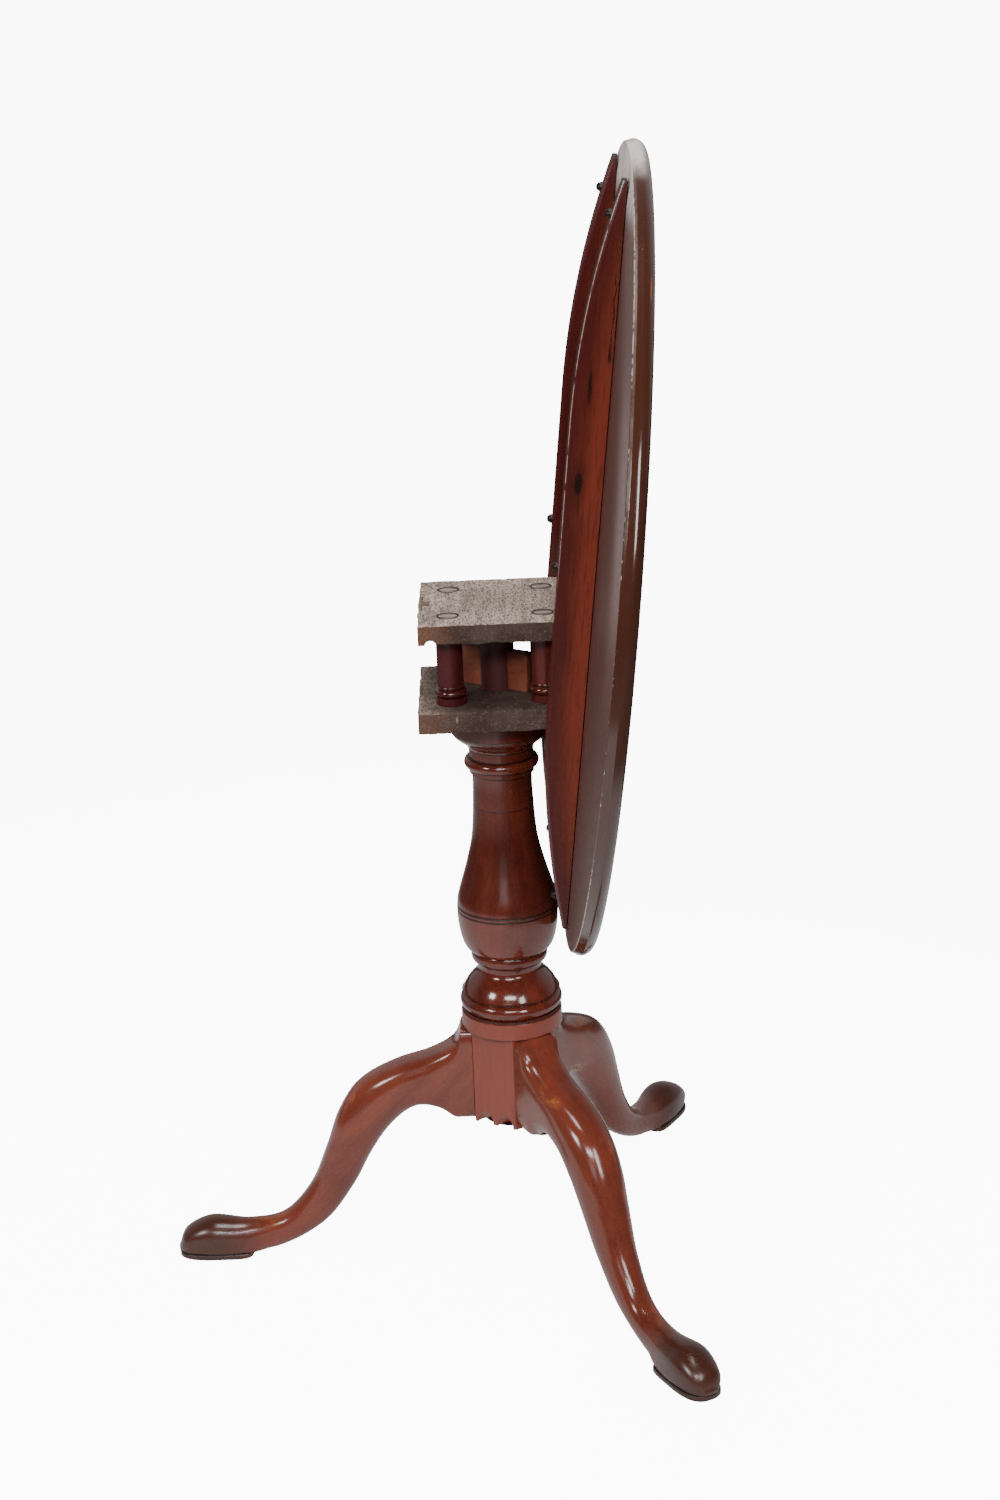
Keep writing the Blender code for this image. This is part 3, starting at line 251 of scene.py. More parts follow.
# Catch, lowered, from the pintles
CATCH_EDGE = -0.1518
CATCH_PLATE = Vector((0.0600, 0.0380, 0.0020))
CATCH_FACE = BEARER_TOP - CATCH_PLATE.z
BOLT = Vector((0.0580, 0.0160, 0.0050))
BOLT_TRAVEL = 0.0105
BOLT_TOP = CATCH_FACE - FIT
GUIDE_LENGTH = 0.0100
GUIDE_WALL = 0.0016
GUIDE_SPACING = 0.0345
KNOB_RADIUS = 0.0060
KNOB_HEIGHT = 0.0110
KNOB_NECK = 0.00372
KNOB_WAIST = 0.0012             # how far the knob is drawn in below its neck
KNOB_SIDES = 40
CATCH_SCREW_INSET = 0.0044
KEEPER = Vector((0.0030, 0.0450, 0.0145))
KEEPER_SCREW_INSET = 0.0050
POCKET_DEPTH = 0.0070

# Screws: radii of shank and head, height of the dome, length
BEARER_SCREW = (0.0022, 0.0045, 0.0062, 0.0200)
CATCH_SCREW = (0.0015, 0.0029, 0.0013, 0.0100)
BASE_SCREW = (0.0016, 0.0032, 0.0020, 0.0160)
SCREW_SIDES = 24
SLOT_HEAD = 0.0038              # radius of the head whose slot has the set width
SLOT_START, SLOT_TURN = 0.4, 0.9    # turn of the first slot, and from each to the next, in radians
BASE_SCREW_PLACES = ((0.0550, 0.0), (0.0170, pi / 3))   # distance out, and turn from a leg

# Camera, fitted to the photograph
CAMERA_PLACE = Vector((0.0919347, -2.4835, 1.4056))
CAMERA_YAW = radians(-0.25)
CAMERA_PITCH = radians(19.24)
CAMERA_ROLL = radians(-2.4)
CAMERA_LENS = 65.098
SENSOR_WIDTH = 36.0

# Studio: name, place, target, size and power of each lamp
LAMPS = (("lamp_front", (-0.05, -2.7, 2.25), (0.08, 0.0, 0.35), (1.3, 0.4), 64.0),
         ("lamp_above", (0.08, -0.2, 3.0), (0.08, 0.0, 0.3), (0.55, 1.0), 43.0),
         ("lamp_low", (-0.30, -2.75, 1.16), (0.08, 0.0, 0.45), (0.9, 0.5), 4.0),
         ("lamp_tall", (1.35, -2.5, 1.95), (0.15, 0.0, 0.6), (0.6, 1.3), 60.0),
         ("lamp_left", (-2.05, -1.65, 2.05), (0.08, 0.0, 0.35), (0.6, 0.6), 50.0))
FLOOR_SIZE = 80.0
PAPER = (1.05, 0.75)            # distances from the column over which the bright paper begins
LEFT_SIDE = (0.05, -0.12)
LEFT_PAPER = (1.75, 1.35)       # the same on the left, where it reaches further
BACKDROP_DEPTHS = (-0.10, 0.45)
BACKDROP_HEIGHTS = (0.95, 0.40)
CEILING_SHARE = 0.12


def colour(name, description, default):
    """A colour that a user can change."""
    return FloatVectorProperty(name=name, description=description, default=default, size=3, min=0.0,
                               max=1.0, subtype="COLOR")


def length(name, description, default):
    """A length that a user can change."""
    return FloatProperty(name=name, description=description, default=default, min=0.0, unit="LENGTH")


def amount(name, description, default):
    """A plain number that a user can change."""
    return FloatProperty(name=name, description=description, default=default, min=0.0)


class TableWood(bpy.types.PropertyGroup):
    """Colours of the table's woods and metals."""

    polish_dark: colour("Polish, dark", "Darkest figure of the polished mahogany", (0.036, 0.0060, 0.0036))
    polish: colour("Polish", "Main colour of the polished mahogany", (0.076, 0.0125, 0.0068))
    polish_light: colour("Polish, light", "Lightest figure of the mahogany", (0.130, 0.0240, 0.0120))
    leg: colour("Leg polish", "Lighter polish of the legs", (0.118, 0.0258, 0.0146))
    satin: colour("Satin polish", "Duller, paler polish of the drum and the foot", (0.172, 0.0310, 0.0160))
    # Also laid on the legs' knees as painted highlights
    rubbed: colour("Rubbed polish", "Orange wood where the polish is worn thin", (0.300, 0.0850, 0.0200))
    maroon: colour("Maroon polish", "Darker red polish of the pillars and the bearers' edges",
                   (0.054, 0.0080, 0.0080))
    # Partly the bearers' own orange-red, partly a painted sheen beside the top
    glow: colour("Bearer glow", "Orange-red of the bearers beside the top", (0.180, 0.0320, 0.0175))
    # Dirt and wax in grooves and joints, also used as painted shadow along the arris and at the bearers' joints
    # with the top
    dirt_and_shade: colour("Dirt", "Dark wax and dirt in grooves and joints", (0.006, 0.0030, 0.0020))
    # Painted sheen laid on the underside towards the arris
    underside_sheen: colour("Haze", "Lilac-grey bloom of the underside towards the arris", (0.260, 0.1850, 0.1800))
    underside: colour("Underside", "Satin underside of the top", (0.082, 0.0300, 0.0215))
    # Also darkens the legs' toes as a painted dark reflection
    rim: colour("Rim", "Dark polish of the rim", (0.032, 0.0110, 0.0070))
    worn_edge: colour("Worn edge", "Rubbed strip along the arris", (0.085, 0.0570, 0.0460))
    face: colour("Upper face", "Polished upper face of the top", (0.110, 0.0210, 0.0075))
    # Pale worn wood and painted reflection at the top's upper end
    pale_wear_and_reflection: colour("Bleached edge", "Pale worn wood at the upper end of the top", (0.600, 0.5300, 0.4900))
    raw: colour("Bare wood", "Dry bare wood of the cage's boards", (0.450, 0.3560, 0.2950))
    raw_fleck: colour("Bare wood flecks", "Open grain of the bare wood", (0.085, 0.0580, 0.0450))
    raw_edge: colour("Bare wood edges", "Dark end grain of the boards' edges", (0.066, 0.0430, 0.0340))
    key: colour("Key", "Bare orange-brown wood of the key", (0.155, 0.0490, 0.0240))
    iron: colour("Iron", "Dark iron of the bearers' screws", (0.018, 0.0165, 0.0155))
    brass: colour("Brass", "Brass of the catch", (0.520, 0.4000, 0.2300))
    tarnish: colour("Tarnish", "Grey-brown tarnish on the brass", (0.200, 0.1600, 0.1150))


class TableShape(bpy.types.PropertyGroup):
    """Sizes of edges and wear that can be changed without moving a piece."""

    edge_wear: length("Edge wear", "How far the boards' edges are rubbed down", 0.0011)
    wear_reach: length("Wear reach", "How far in from an edge the wear goes", 0.0032)
    bearer_round: length("Bearer rounding", "Radius along the bearers' outer edges", 0.0028)
    metal_round: length("Metal rounding", "Radius of the catch's edges", 0.0004)
    slot_width: length("Slot width", "Width of the screws' slots", 0.0009)


class TableStudio(bpy.types.PropertyGroup):
    """Floor, backdrop and lamps."""

    floor: colour("Floor", "Colour of the floor", (0.70, 0.70, 0.70))
    floor_glow: amount("Floor glow", "Light that the paper round the table gives it", 0.12)
    beyond: amount("Beyond", "Share of that light left beyond the paper", 0.15)
    whiteness: amount("Whiteness", "Light of floor and backdrop in the picture itself", 10.0)
    backdrop: amount("Backdrop", "Light from behind the table", 0.75)
    room: amount("Room", "Light from the dark side of the room", 0.08)
    lamp: amount("Lamps", "Strength of all lamps", 1.0)


def wood():
    """The table's colours."""
    return bpy.context.scene.table_wood


def shape():
    """The table's edges and wear."""
    return bpy.context.scene.table_shape


class Signal:
    """A socket among nodes. Sums on it add Math nodes."""

    def __init__(self, look, socket):
        self.look = look
        self.socket = socket

    def math(self, operation, first, second=0.0):
        """A Math node on two values."""
        return self.look.node("ShaderNodeMath", {"operation": operation}, {0: first, 1: second})

    def __add__(self, other):
        return self.math("ADD", self, other)

    def __sub__(self, other):
        return self.math("SUBTRACT", self, other)

    def __rsub__(self, other):
        return self.math("SUBTRACT", other, self)

    def __mul__(self, other):
        return self.math("MULTIPLY", self, other)

    def __truediv__(self, other):
        return self.math("DIVIDE", self, other)

    def __abs__(self):
        return self.math("ABSOLUTE", self)

    def most(self, other):
        """The larger of two values."""
        return self.math("MAXIMUM", self, other)

    __radd__ = __add__
    __rmul__ = __mul__


class Nodes:
    """The nodes of a material or of the world."""

    def __init__(self, owner):
        owner.use_nodes = True
        self.tree = owner.node_tree

    def node(self, kind, settings=None, inputs=None, output=0):
        """Add a node of a type, with its settings and the values or links of its sockets."""
        made = self.tree.nodes.new(kind)
        for name, value in (settings or {}).items():
            if name == "stops":
                self.set_stops(made.color_ramp, value)
            else:
                setattr(made, name, value)
        for name, value in (inputs or {}).items():
            if isinstance(value, Signal):
                self.tree.links.new(value.socket, made.inputs[name])
            else:
                made.inputs[name].default_value = value
        return Signal(self, made.outputs[output])

    def set_stops(self, ramp, stops):
        """Give a colour ramp its places and colours."""
        while len(ramp.elements) < len(stops):
            ramp.elements.new(0.5)
        for element, (position, shade) in zip(ramp.elements, stops):
            element.position = position
            element.color = (*shade, 1.0)

    def parts(self, vector):
        """The three parts of a vector."""
        split = self.node("ShaderNodeSeparateXYZ", {}, {"Vector": vector})
        outputs = split.socket.node.outputs
        return [Signal(self, outputs[axis]) for axis in "XYZ"]

    def step(self, value, low, high, start=0.0, end=1.0):
        """A smooth step from one result at a low value to another at a high one."""
        return self.node("ShaderNodeMapRange", {"interpolation_type": "SMOOTHSTEP"},
                         {"Value": value, "From Min": low, "From Max": high, "To Min": start, "To Max": end})


class Look(Nodes):
    """A material that is being made from nodes."""

    def __init__(self, name):
        self.material = bpy.data.materials.new(name)
        super().__init__(self.material)
        self.shader = self.tree.nodes["Principled BSDF"]
        self.place = self.node("ShaderNodeTexCoord", output="Object")
        self.shade = None

    def local(self, origin, turn=(0.0, 0.0, 0.0)):
        """Coordinates in a frame with its own origin and turn."""
        shifted = -(Euler(turn).to_matrix() @ Vector(origin))
        return self.node("ShaderNodeMapping", {},
                         {"Vector": self.place, "Location": shifted, "Rotation": turn})

    def swung(self, vector, turn):
        """A vector turned about the origin."""
        return self.node("ShaderNodeMapping", {}, {"Vector": vector, "Rotation": turn})

    def vector(self, operation, first, second=(0.0, 0.0, 0.0), output=0):
        """A Vector Math node on two vectors."""
        return self.node("ShaderNodeVectorMath", {"operation": operation}, {0: first, 1: second}, output)

    def scaled(self, vector, factors):
        """A vector stretched along its axes."""
        return self.vector("MULTIPLY", vector, factors)

    def radius(self, first, second):
        """Distance from an axis, given in two parts."""
        across = self.node("ShaderNodeCombineXYZ", {}, {"X": first, "Y": second})
        return self.vector("LENGTH", across, output="Value")

    def noise(self, vector, scale, detail=3.0, roughness=0.55, distortion=0.0):
        """Soft cloudy noise from 0 to 1."""
        return self.node("ShaderNodeTexNoise", {}, {"Vector": vector, "Scale": scale, "Detail": detail,
                                                    "Roughness": roughness, "Distortion": distortion})

    def band(self, value, low, high, soft):
        """1 between two values, with soft ends."""
        return self.step(value, low - soft, low) * self.step(value, high + soft, high)

    def lines(self, value, places, half_width):
        """Narrow lines at several values."""
        solid = half_width * 0.3
        return reduce(Signal.most, [self.step(abs(value - place), half_width, solid) for place in places])

    def spot(self, vector, centre, radii):
        """A soft ellipsoid round a point."""
        off = self.vector("DIVIDE", self.vector("SUBTRACT", vector, centre), radii)
        return self.step(self.vector("LENGTH", off, output="Value"), 1.0, 0.35)

    def spots(self, vector, places):
        """Soft ellipsoids, each given by its centre, its radii and its strength."""
        return reduce(Signal.most, [self.spot(vector, *place[:2]) * place[2] for place in places])

    def ramp(self, value, stops):
        """A colour for each value."""
        return self.node("ShaderNodeValToRGB", {"stops": stops}, {"Fac": value})

    def mix(self, share, first, second):
        """A colour between two, each a colour or a socket."""
        first, second = (c if isinstance(c, Signal) else (*c, 1.0) for c in (first, second))
        return self.node("ShaderNodeMix", {"data_type": "RGBA"}, {0: share, 6: first, 7: second}, 2)

    def coat(self, share, tone):
        """Lay a colour over what the material has so far."""
        self.shade = self.mix(share, self.shade, tone)

    def done(self, roughness, height=None, depth=0.0002, metallic=0.0, specular=0.5):
        """Link the finished colour, roughness and height, and give the material."""
        sockets = self.shader.inputs
        self.tree.links.new(self.shade.socket, sockets["Base Color"])
        if isinstance(roughness, Signal):
            self.tree.links.new(roughness.socket, sockets["Roughness"])
        else:
            sockets["Roughness"].default_value = roughness
        sockets["Metallic"].default_value = metallic
        sockets["Specular IOR Level"].default_value = specular
        if height is not None:
            bump = self.node("ShaderNodeBump", {}, {"Strength": 1.0, "Distance": depth, "Height": height})
            self.tree.links.new(bump.socket, sockets["Normal"])
        return self.material


def mahogany(look, along, dark, mid, light):
    """Give a look mahogany's colour, with the grain along X of a vector, and return its pores as a height."""
    figure = look.noise(look.scaled(along, (1.2, 5.0, 5.0)), 7.0, 3.0, 0.5, 0.5)
    streaks = look.noise(look.scaled(along, (1.0, 22.0, 22.0)), 14.0, 4.0, 0.6)
    flecks = look.noise(look.scaled(along, (1.0, 6.0, 6.0)), 170.0, 1.0)
    pores = look.step(flecks, 0.57, 0.70)
    look.shade = look.ramp(figure * 0.7 + streaks * 0.3, ((0.26, dark), (0.50, mid), (0.74, light)))
    look.coat(pores * 0.16, wood().dirt_and_shade)
    return pores * -0.1


def scratches(look, along, turn, share):
    """Sparse fine scratches in one direction."""
    swung = look.swung(along, (0.3, turn * 0.7, turn))
    marks = look.noise(look.scaled(swung, (1.0, 42.0, 42.0)), 17.0, 1.0)
    return look.step(marks, 0.80 - share, 0.84 - share)


def column_look():
    """Polished column: upright grain, dark grooves, satin drum and foot, painted sheen on the bowl, dull neck."""
    look = Look("column_mahogany")
    tones = wood()
    along = look.local(AXIS, (0.0, pi / 2, 0.0))
    height = look.parts(along)[0]
    relief = mahogany(look, along, tones.polish_dark, tones.polish, tones.polish_light)
    satin = look.step(height, DRUM_TOP + 0.001, DRUM_TOP - 0.001)
    grime = look.noise(look.scaled(along, (0.7, 6.0, 6.0)), 26.0, 4.0, 0.6)
    look.coat(satin * (0.52 + grime * 0.60), tones.satin)
    # Painted sheen: the bowl is paled towards the satin colour
    bowl = look.band(height, BOWL_BASE, SWELL_LINE, 0.001)
    look.coat(bowl * 0.3, tones.satin)
    grooves = look.lines(height, DARK_GROOVES, 0.0012)
    look.coat(grooves * 0.85, tones.dirt_and_shade)
    lathe_line = look.lines(height, (NECK_LINE,), 0.0011)
    look.coat(lathe_line * 0.6, tones.dirt_and_shade)
    spindle = look.step(height, CAP_TOP, CAP_TOP + 0.002)
    look.coat(spindle * 0.75, tones.maroon)
    vase = look.band(height, SWELL_LINE, NECK_LINE, 0.006)
    neck = look.band(height, NECK_LINE, FILLET_BASE, 0.001)
    cloud = look.noise(look.place, 34.0, 3.0)
    roughness = 0.12 + cloud * 0.06 + satin * 0.24 + vase * 0.06 + neck * 0.12
    roughness = roughness + spindle * 0.45 + grooves * 0.3
    return look.done(roughness, cloud * 0.3 + relief * 0.15)


def leg_look(name, angle):
    """Polished leg: grain along the leg, rubbed places with painted highlights on the knee, scratches on the foot,
    and toes darkened as a painted dark reflection.
    """
    look = Look(name + "_mahogany")
    tones = wood()
    along = look.local(AXIS, (0.0, 0.0, -angle))
    out, _, height = look.parts(along)
    grain = look.swung(along, (0.0, -pi / 4, 0.0))
    relief = mahogany(look, grain, tones.polish, tones.leg, tones.satin)
    patches = look.step(look.noise(look.scaled(along, (1.0, 1.6, 1.0)), 46.0, 4.0, 0.65), 0.40, 0.66)
    # Rubbed polish and painted highlights on the knees
    worn = look.spots(along, LEG_RUBS_AND_HIGHLIGHTS)
    look.coat(worn * patches * 0.8, tones.rubbed)
    foot = look.step(out, *FOOT_LIMITS)
    marks = scratches(look, along, 0.9, 0.055).most(scratches(look, along, -0.5, 0.055))
    look.coat(marks * foot * 0.5, tones.worn_edge)
    # Painted dark reflection: the toes are darkened towards the rim's colour
    toe = look.step(out, *TOE_LIMITS)
    look.coat(toe * 0.85, tones.rim)
    # The pad is darkened a little and the bottom edge of its sole more
    pad = look.step(height, PAD_THICK + 0.0004, PAD_THICK - 0.0004)
    look.coat(pad * 0.3, tones.dirt_and_shade)
    sole = look.step(height, *SOLE_LIMITS)
    look.coat(sole * 0.8, tones.dirt_and_shade)
    seam = look.lines(height, (PAD_THICK + 0.0003,), 0.0012)
    look.coat(seam * 0.9, tones.dirt_and_shade)
    dents = look.step(look.noise(look.place, 160.0, 1.0), 0.72, 0.80)
    cloud = look.noise(look.place, 38.0, 3.0)
    roughness = 0.14 + cloud * 0.08 + worn * patches * 0.15 + toe * 0.10 + marks * foot * 0.2 + seam * 0.4
    relief = cloud * 0.6 + relief * 0.15 - dents * 0.04 - marks * foot * 0.1
    return look.done(roughness, relief, specular=0.42)


def pillar_look():
    """Maroon polish darkened in the turned grooves, and bare tenons with a dark ring."""
    look = Look("pillar_maroon")
    tones = wood()
    along = look.local(AXIS)
    upright = look.local(AXIS, (0.0, pi / 2, 0.0))
    place, depth, height = look.parts(along)
    relief = mahogany(look, upright, tones.maroon, tones.maroon, tones.polish_light)
    base = LOWER_HIGH.z + PILLAR_PLINTH_HEIGHT
    head = UPPER_LOW.z - PILLAR_COLLAR_HEIGHT - FIT
    grooves = look.lines(height, (base, LOWER_HIGH.z + PILLAR_BASE_HEIGHT, head, LOWER_HIGH.z), 0.0008)
    look.coat(grooves * 0.6, tones.dirt_and_shade)
    end = look.step(height, UPPER_HIGH.z - 0.0015, UPPER_HIGH.z - 0.0005)
    radius = look.radius(abs(place) - PILLAR_PLACE, abs(depth) - PILLAR_PLACE)
    cloud = look.noise(look.place, 60.0, 2.0)
    tenon = look.mix(look.step(cloud, 0.40, 0.60) * 0.3, tones.raw_fleck, tones.raw)
    tenon = look.mix(look.step(radius, TENON_RADIUS - 0.0020, TENON_RADIUS - 0.0006), tenon, tones.dirt_and_shade)
    look.coat(end, tenon)
    shaft = look.step(height, LOWER_HIGH.z + PILLAR_BASE_HEIGHT, LOWER_HIGH.z + PILLAR_BASE_HEIGHT + 0.004)
    roughness = 0.08 + cloud * 0.06 + shaft * 0.14 + end * 0.4
    return look.done(roughness, relief * 0.2)


def bearer_look():
    """Bearers: orange-red beside the top and maroon at the outer edge, partly painted sheen; knots; dark joints
    with painted contact shadow; a pale arris that is partly wear and partly painted highlight.
    """
    look = Look("bearer_mahogany")
    tones = wood()
    along = look.local(HINGE, (0.0, -SWING, 0.0))
    place, side, depth = look.parts(along)
    relief = mahogany(look, along, tones.polish_dark, tones.polish, tones.polish_light)
    run = ((abs(place - BEARER_MIDDLE) - BEARER_FLAT) / (BEARER_HALF_LENGTH - BEARER_FLAT)).most(0.0)
    outer = BEARER_TOP - BEARER_DEPTH + run * run * (BEARER_DEPTH - BEARER_END_DEPTH)
    cloud = look.noise(look.scaled(along, (1.0, 3.0, 3.0)), 14.0, 3.0)
    across = (depth - outer) / BEARER_DEPTH + (cloud - 0.5) * 0.25
    # Orange-red beside the top fading to maroon at the outer edge: partly the wood's colour, partly painted sheen,
    # weaker at the upper end
    warm_tone_and_sheen = look.step(across, 0.30, 0.80) * (0.3 + look.step(place, -0.36, -0.20) * 0.42)
    look.coat(warm_tone_and_sheen, tones.glow)
    look.coat(look.step(across, 0.46, 0.10) * 0.78, tones.maroon)
    fibre = look.noise(look.scaled(along, (1.0, 14.0, 14.0)), 36.0, 3.0, 0.6)
    look.coat(look.step(fibre, 0.48, 0.70) * 0.35, tones.polish_dark)
    look.coat(look.spots(along, KNOTS) * 0.9, tones.dirt_and_shade)
    # Dark line where the bearer meets the top: dirt, and painted contact shadow of the gap, with a dirty crack
    # beside it on part of the length
    joint = look.step(depth, BEARER_TOP - 0.0010, BEARER_TOP - 0.0003)
    crack = look.noise(look.scaled(along, (1.0, 0.2, 4.0)), 60.0, 3.0)
    joint = joint.most(look.band(depth + (crack - 0.5) * 0.006, 0.0056, 0.0062, 0.0006)
                       * look.band(place, -0.33, -0.26, 0.01))
    look.coat(joint * 0.85, tones.dirt_and_shade)
    ends = look.step(abs(place - BEARER_MIDDLE), BEARER_HALF_LENGTH - 0.004, BEARER_HALF_LENGTH)
    look.coat(ends * 0.85, tones.dirt_and_shade)
    face = BEARER_INSIDE + BEARER_THICK
    # Pale line along the outer arris of the upper half: partly bare worn wood, partly a painted highlight
    arris = look.step(abs(side), face - 0.0015, face - 0.0007) * look.step(depth - outer, 0.0015, 0.0007)
    arris = arris * look.step(place, -0.03, -0.10) * look.step(crack, 0.30, 0.50)
    look.coat(arris * 0.85, tones.raw)
    roughness = 0.13 + cloud * 0.08 + ends * 0.4 + arris * 0.2
    return look.done(roughness, relief * 0.4)


def top_look():
    """Top: satin underside with a painted lilac sheen, rubbed arris with a painted shadow line, dark glossy rim,
    pale wear and painted reflection at the upper end, and a polished upper face.
    """
    look = Look("top_mahogany")
    tones = wood()
    along = look.local(HINGE, (0.0, -SWING, 0.0))
    grain = look.swung(along, (0.0, 0.0, pi / 2))
    place, across, height = look.parts(along)
    radius = look.radius(place - TOP_CENTRE, across)
    long_grain = look.scaled(grain, (0.4, 1.5, 1.5))
    relief = mahogany(look, long_grain, tones.polish, tones.face, tones.polish_light)
    rise = height - UNDERSIDE
    cloud = look.noise(look.place, 22.0, 4.0)
    fine = look.noise(look.place, 230.0, 2.0)
    below = look.step(rise, ARRIS_RISE + 0.0002, ARRIS_RISE - 0.0001)
    upward = look.step(place, 0.06, -0.16)
    pores = look.step(look.noise(look.scaled(grain, (1.0, 8.0, 8.0)), 120.0, 1.0), 0.56, 0.70)
    satin = look.mix(cloud * 0.4 + pores * 0.4, tones.underside, tones.polish_dark)
    # Painted sheen: the underside turns lilac-grey towards the arris, most in its upper part and less at the very
    # top
    sheen = look.step(radius, ARRIS_RADIUS - 0.190, ARRIS_RADIUS - 0.010) * (0.25 + upward * 0.75)
    sheen = sheen * (1 - look.step(place, -0.20, -0.33) * 0.30)
    satin = look.mix(sheen * sheen * sheen * (0.42 + fine * 0.65), satin, tones.underside_sheen)
    look.coat(below, satin)
    edge = look.step(rise, ARRIS_RISE, ARRIS_RISE + 0.0004) * look.step(radius, *RIM_LIMITS)
    look.coat(edge * 0.92, tones.rim)
    outside = look.step(radius, ARRIS_RADIUS - 0.0022, ARRIS_RADIUS - 0.0010)
    rubs = look.step(look.noise(look.place, 26.0, 4.0, 0.7), 0.36, 0.58)
    strip = look.band(rise, ARRIS_RISE + 0.0003, ARRIS_RISE + WORN_STRIP, 0.0005) * outside
    strip = strip * look.step(place, -0.12, -0.20) * (0.5 + rubs * 0.5)
    look.coat(strip * (0.35 + fine * 0.6), tones.worn_edge)
    # Painted shadow: a dark line just below the arris along the top's upper part
    arris_shadow = look.lines(rise, (ARRIS_RISE - 0.0001,), 0.0007) * outside * look.step(place, -0.10, -0.16)
    # Dark lines on the underside along the bearers' sides: dirt in the joint, and painted contact shadow of the
    # gap
    joint_dirt_and_shadow = look.lines(abs(across), (BEARER_INSIDE, BEARER_INSIDE + BEARER_THICK), 0.0014) * below
    joint_dirt_and_shadow = joint_dirt_and_shadow * look.step(abs(place - BEARER_MIDDLE), BEARER_HALF_LENGTH + 0.003, BEARER_HALF_LENGTH)
    look.coat(arris_shadow.most(joint_dirt_and_shadow) * 0.85, tones.dirt_and_shade)
    marks = scratches(look, along, 0.7, 0.03).most(scratches(look, along, -1.1, 0.03)) * edge
    look.coat(marks * 0.4, tones.worn_edge)
    look.coat(look.spot(along, *RIM_SCRATCH) * 0.7, tones.rubbed)
    lower = look.step(place, 0.06, 0.20)
    upper_end = look.step(place, -0.25, -0.31)
    chips = look.step(fine + lower * 0.22 + upper_end * 0.22, 0.60, 0.69)
    chips = chips * look.lines(rise, (ARRIS_RISE + 0.0002,), 0.0005) * outside
    from_centre = place - TOP_CENTRE
    # Pale wear and painted reflection at the upper end: on the rim's upper side and on the underside just below it
    pale = look.step(from_centre, -0.361, -0.378) * look.step(rise, TOP_THICK - 0.001, 0.012)
    pale = pale.most(below * look.step(from_centre, -0.318, -0.352))
    chips = chips.most(below * look.step(from_centre, 0.345, 0.375) * rubs * 0.6)
    look.coat(chips * 0.9, tones.raw)
    pale = pale * (0.5 + rubs * 0.3 + fine * 0.3)
    look.coat(pale, tones.pale_wear_and_reflection)
    roughness = 0.11 + cloud * 0.05 + below * 0.32 + strip * 0.25 + marks * 0.2 + chips.most(pale) * 0.3
    return look.done(roughness, relief * (1 - edge) - strip * fine * 0.8, 0.0003)


def board_look(name, low, high, pale_edge, share):
    """Bare boards of the cage: flecked pale upper side, dark rough edges, stains round the tenons, and painted
    light in the keeper's pocket.
    """
    look = Look(name + "_bare_wood")
    tones = wood()
    along = look.local(AXIS)
    place, depth, height = look.parts(along)
    flecks = look.noise(look.scaled(along, (8.0, 2.2, 8.0)), 92.0, 2.0, 0.7)
    grain = look.noise(look.scaled(along, (5.0, 0.5, 5.0)), 26.0, 4.0)
    cloud = look.noise(along, 30.0, 4.0, 0.6)
    open_grain = look.step(flecks, 0.48, 0.58)
    pale = look.mix(open_grain * 0.85, tones.raw, tones.raw_fleck)
    pale = look.mix(look.step(grain, 0.42, 0.66) * 0.35, pale, tones.raw_edge)
    stains = look.step(look.noise(along, 12.0, 4.0, 0.6), 0.42, 0.66)
    pale = look.mix(stains * 0.4, pale, tones.worn_edge)
    dark = look.mix(look.step(cloud, 0.40, 0.70) * 0.7, tones.raw_edge, tones.rim)
    dark = look.mix(look.step(flecks, 0.58, 0.70) * 0.20, dark, tones.raw)
    upper = look.step(height, high.z - 0.0012, high.z - 0.0003)
    dry = look.step(place + (cloud - 0.5) * 0.05, pale_edge + 0.020, pale_edge - 0.020)
    look.shade = look.mix(upper * dry * share, dark, pale)
    front = look.step(depth, 0.002 - BLOCK_HALF_DEPTH, 0.001 - BLOCK_HALF_DEPTH)
    corners = look.step(abs(place - low.x), 0.040, 0.0) * (0.4 + look.step(cloud, 0.40, 0.62) * 0.6) * front
    look.coat(corners * (1 - upper) * 0.32, tones.rubbed)
    # Painted light: the keeper's pocket below the board's top is paled to bare wood against the shade in the hole
    pocket = look.spot(along, (low.x + 0.0065, 0.0, high.z - 0.004), (0.0100, 0.0130, 0.0120))
    look.coat(pocket * (1 - upper), tones.raw)
    radius = look.radius(abs(place) - PILLAR_PLACE, abs(depth) - PILLAR_PLACE)
    ring = look.step(radius, TENON_RADIUS + 0.0024, TENON_RADIUS + 0.0008)
    look.coat(ring * upper * share * 0.85, tones.dirt_and_shade)
    inner = low.x + KEEPER.x
    side = KEEPER.y / 2
    outline = look.lines(place, (inner,), 0.0012) * look.step(abs(depth), side + 0.0012, side)
    outline = outline.most(look.lines(abs(depth), (side,), 0.0016) * look.step(place, inner + 0.0010, inner))
    look.coat(outline * upper * dry * share, tones.dirt_and_shade)
    nick = look.spot(along, NICK_PLACE, NICK_RADII) * open_grain.most(0.4)
    look.coat(nick * 0.7, tones.raw)
    relief = open_grain * -0.5 + cloud * 0.6 - nick
    return look.done(0.62 + cloud * 0.25, relief, 0.0005, specular=0.25)


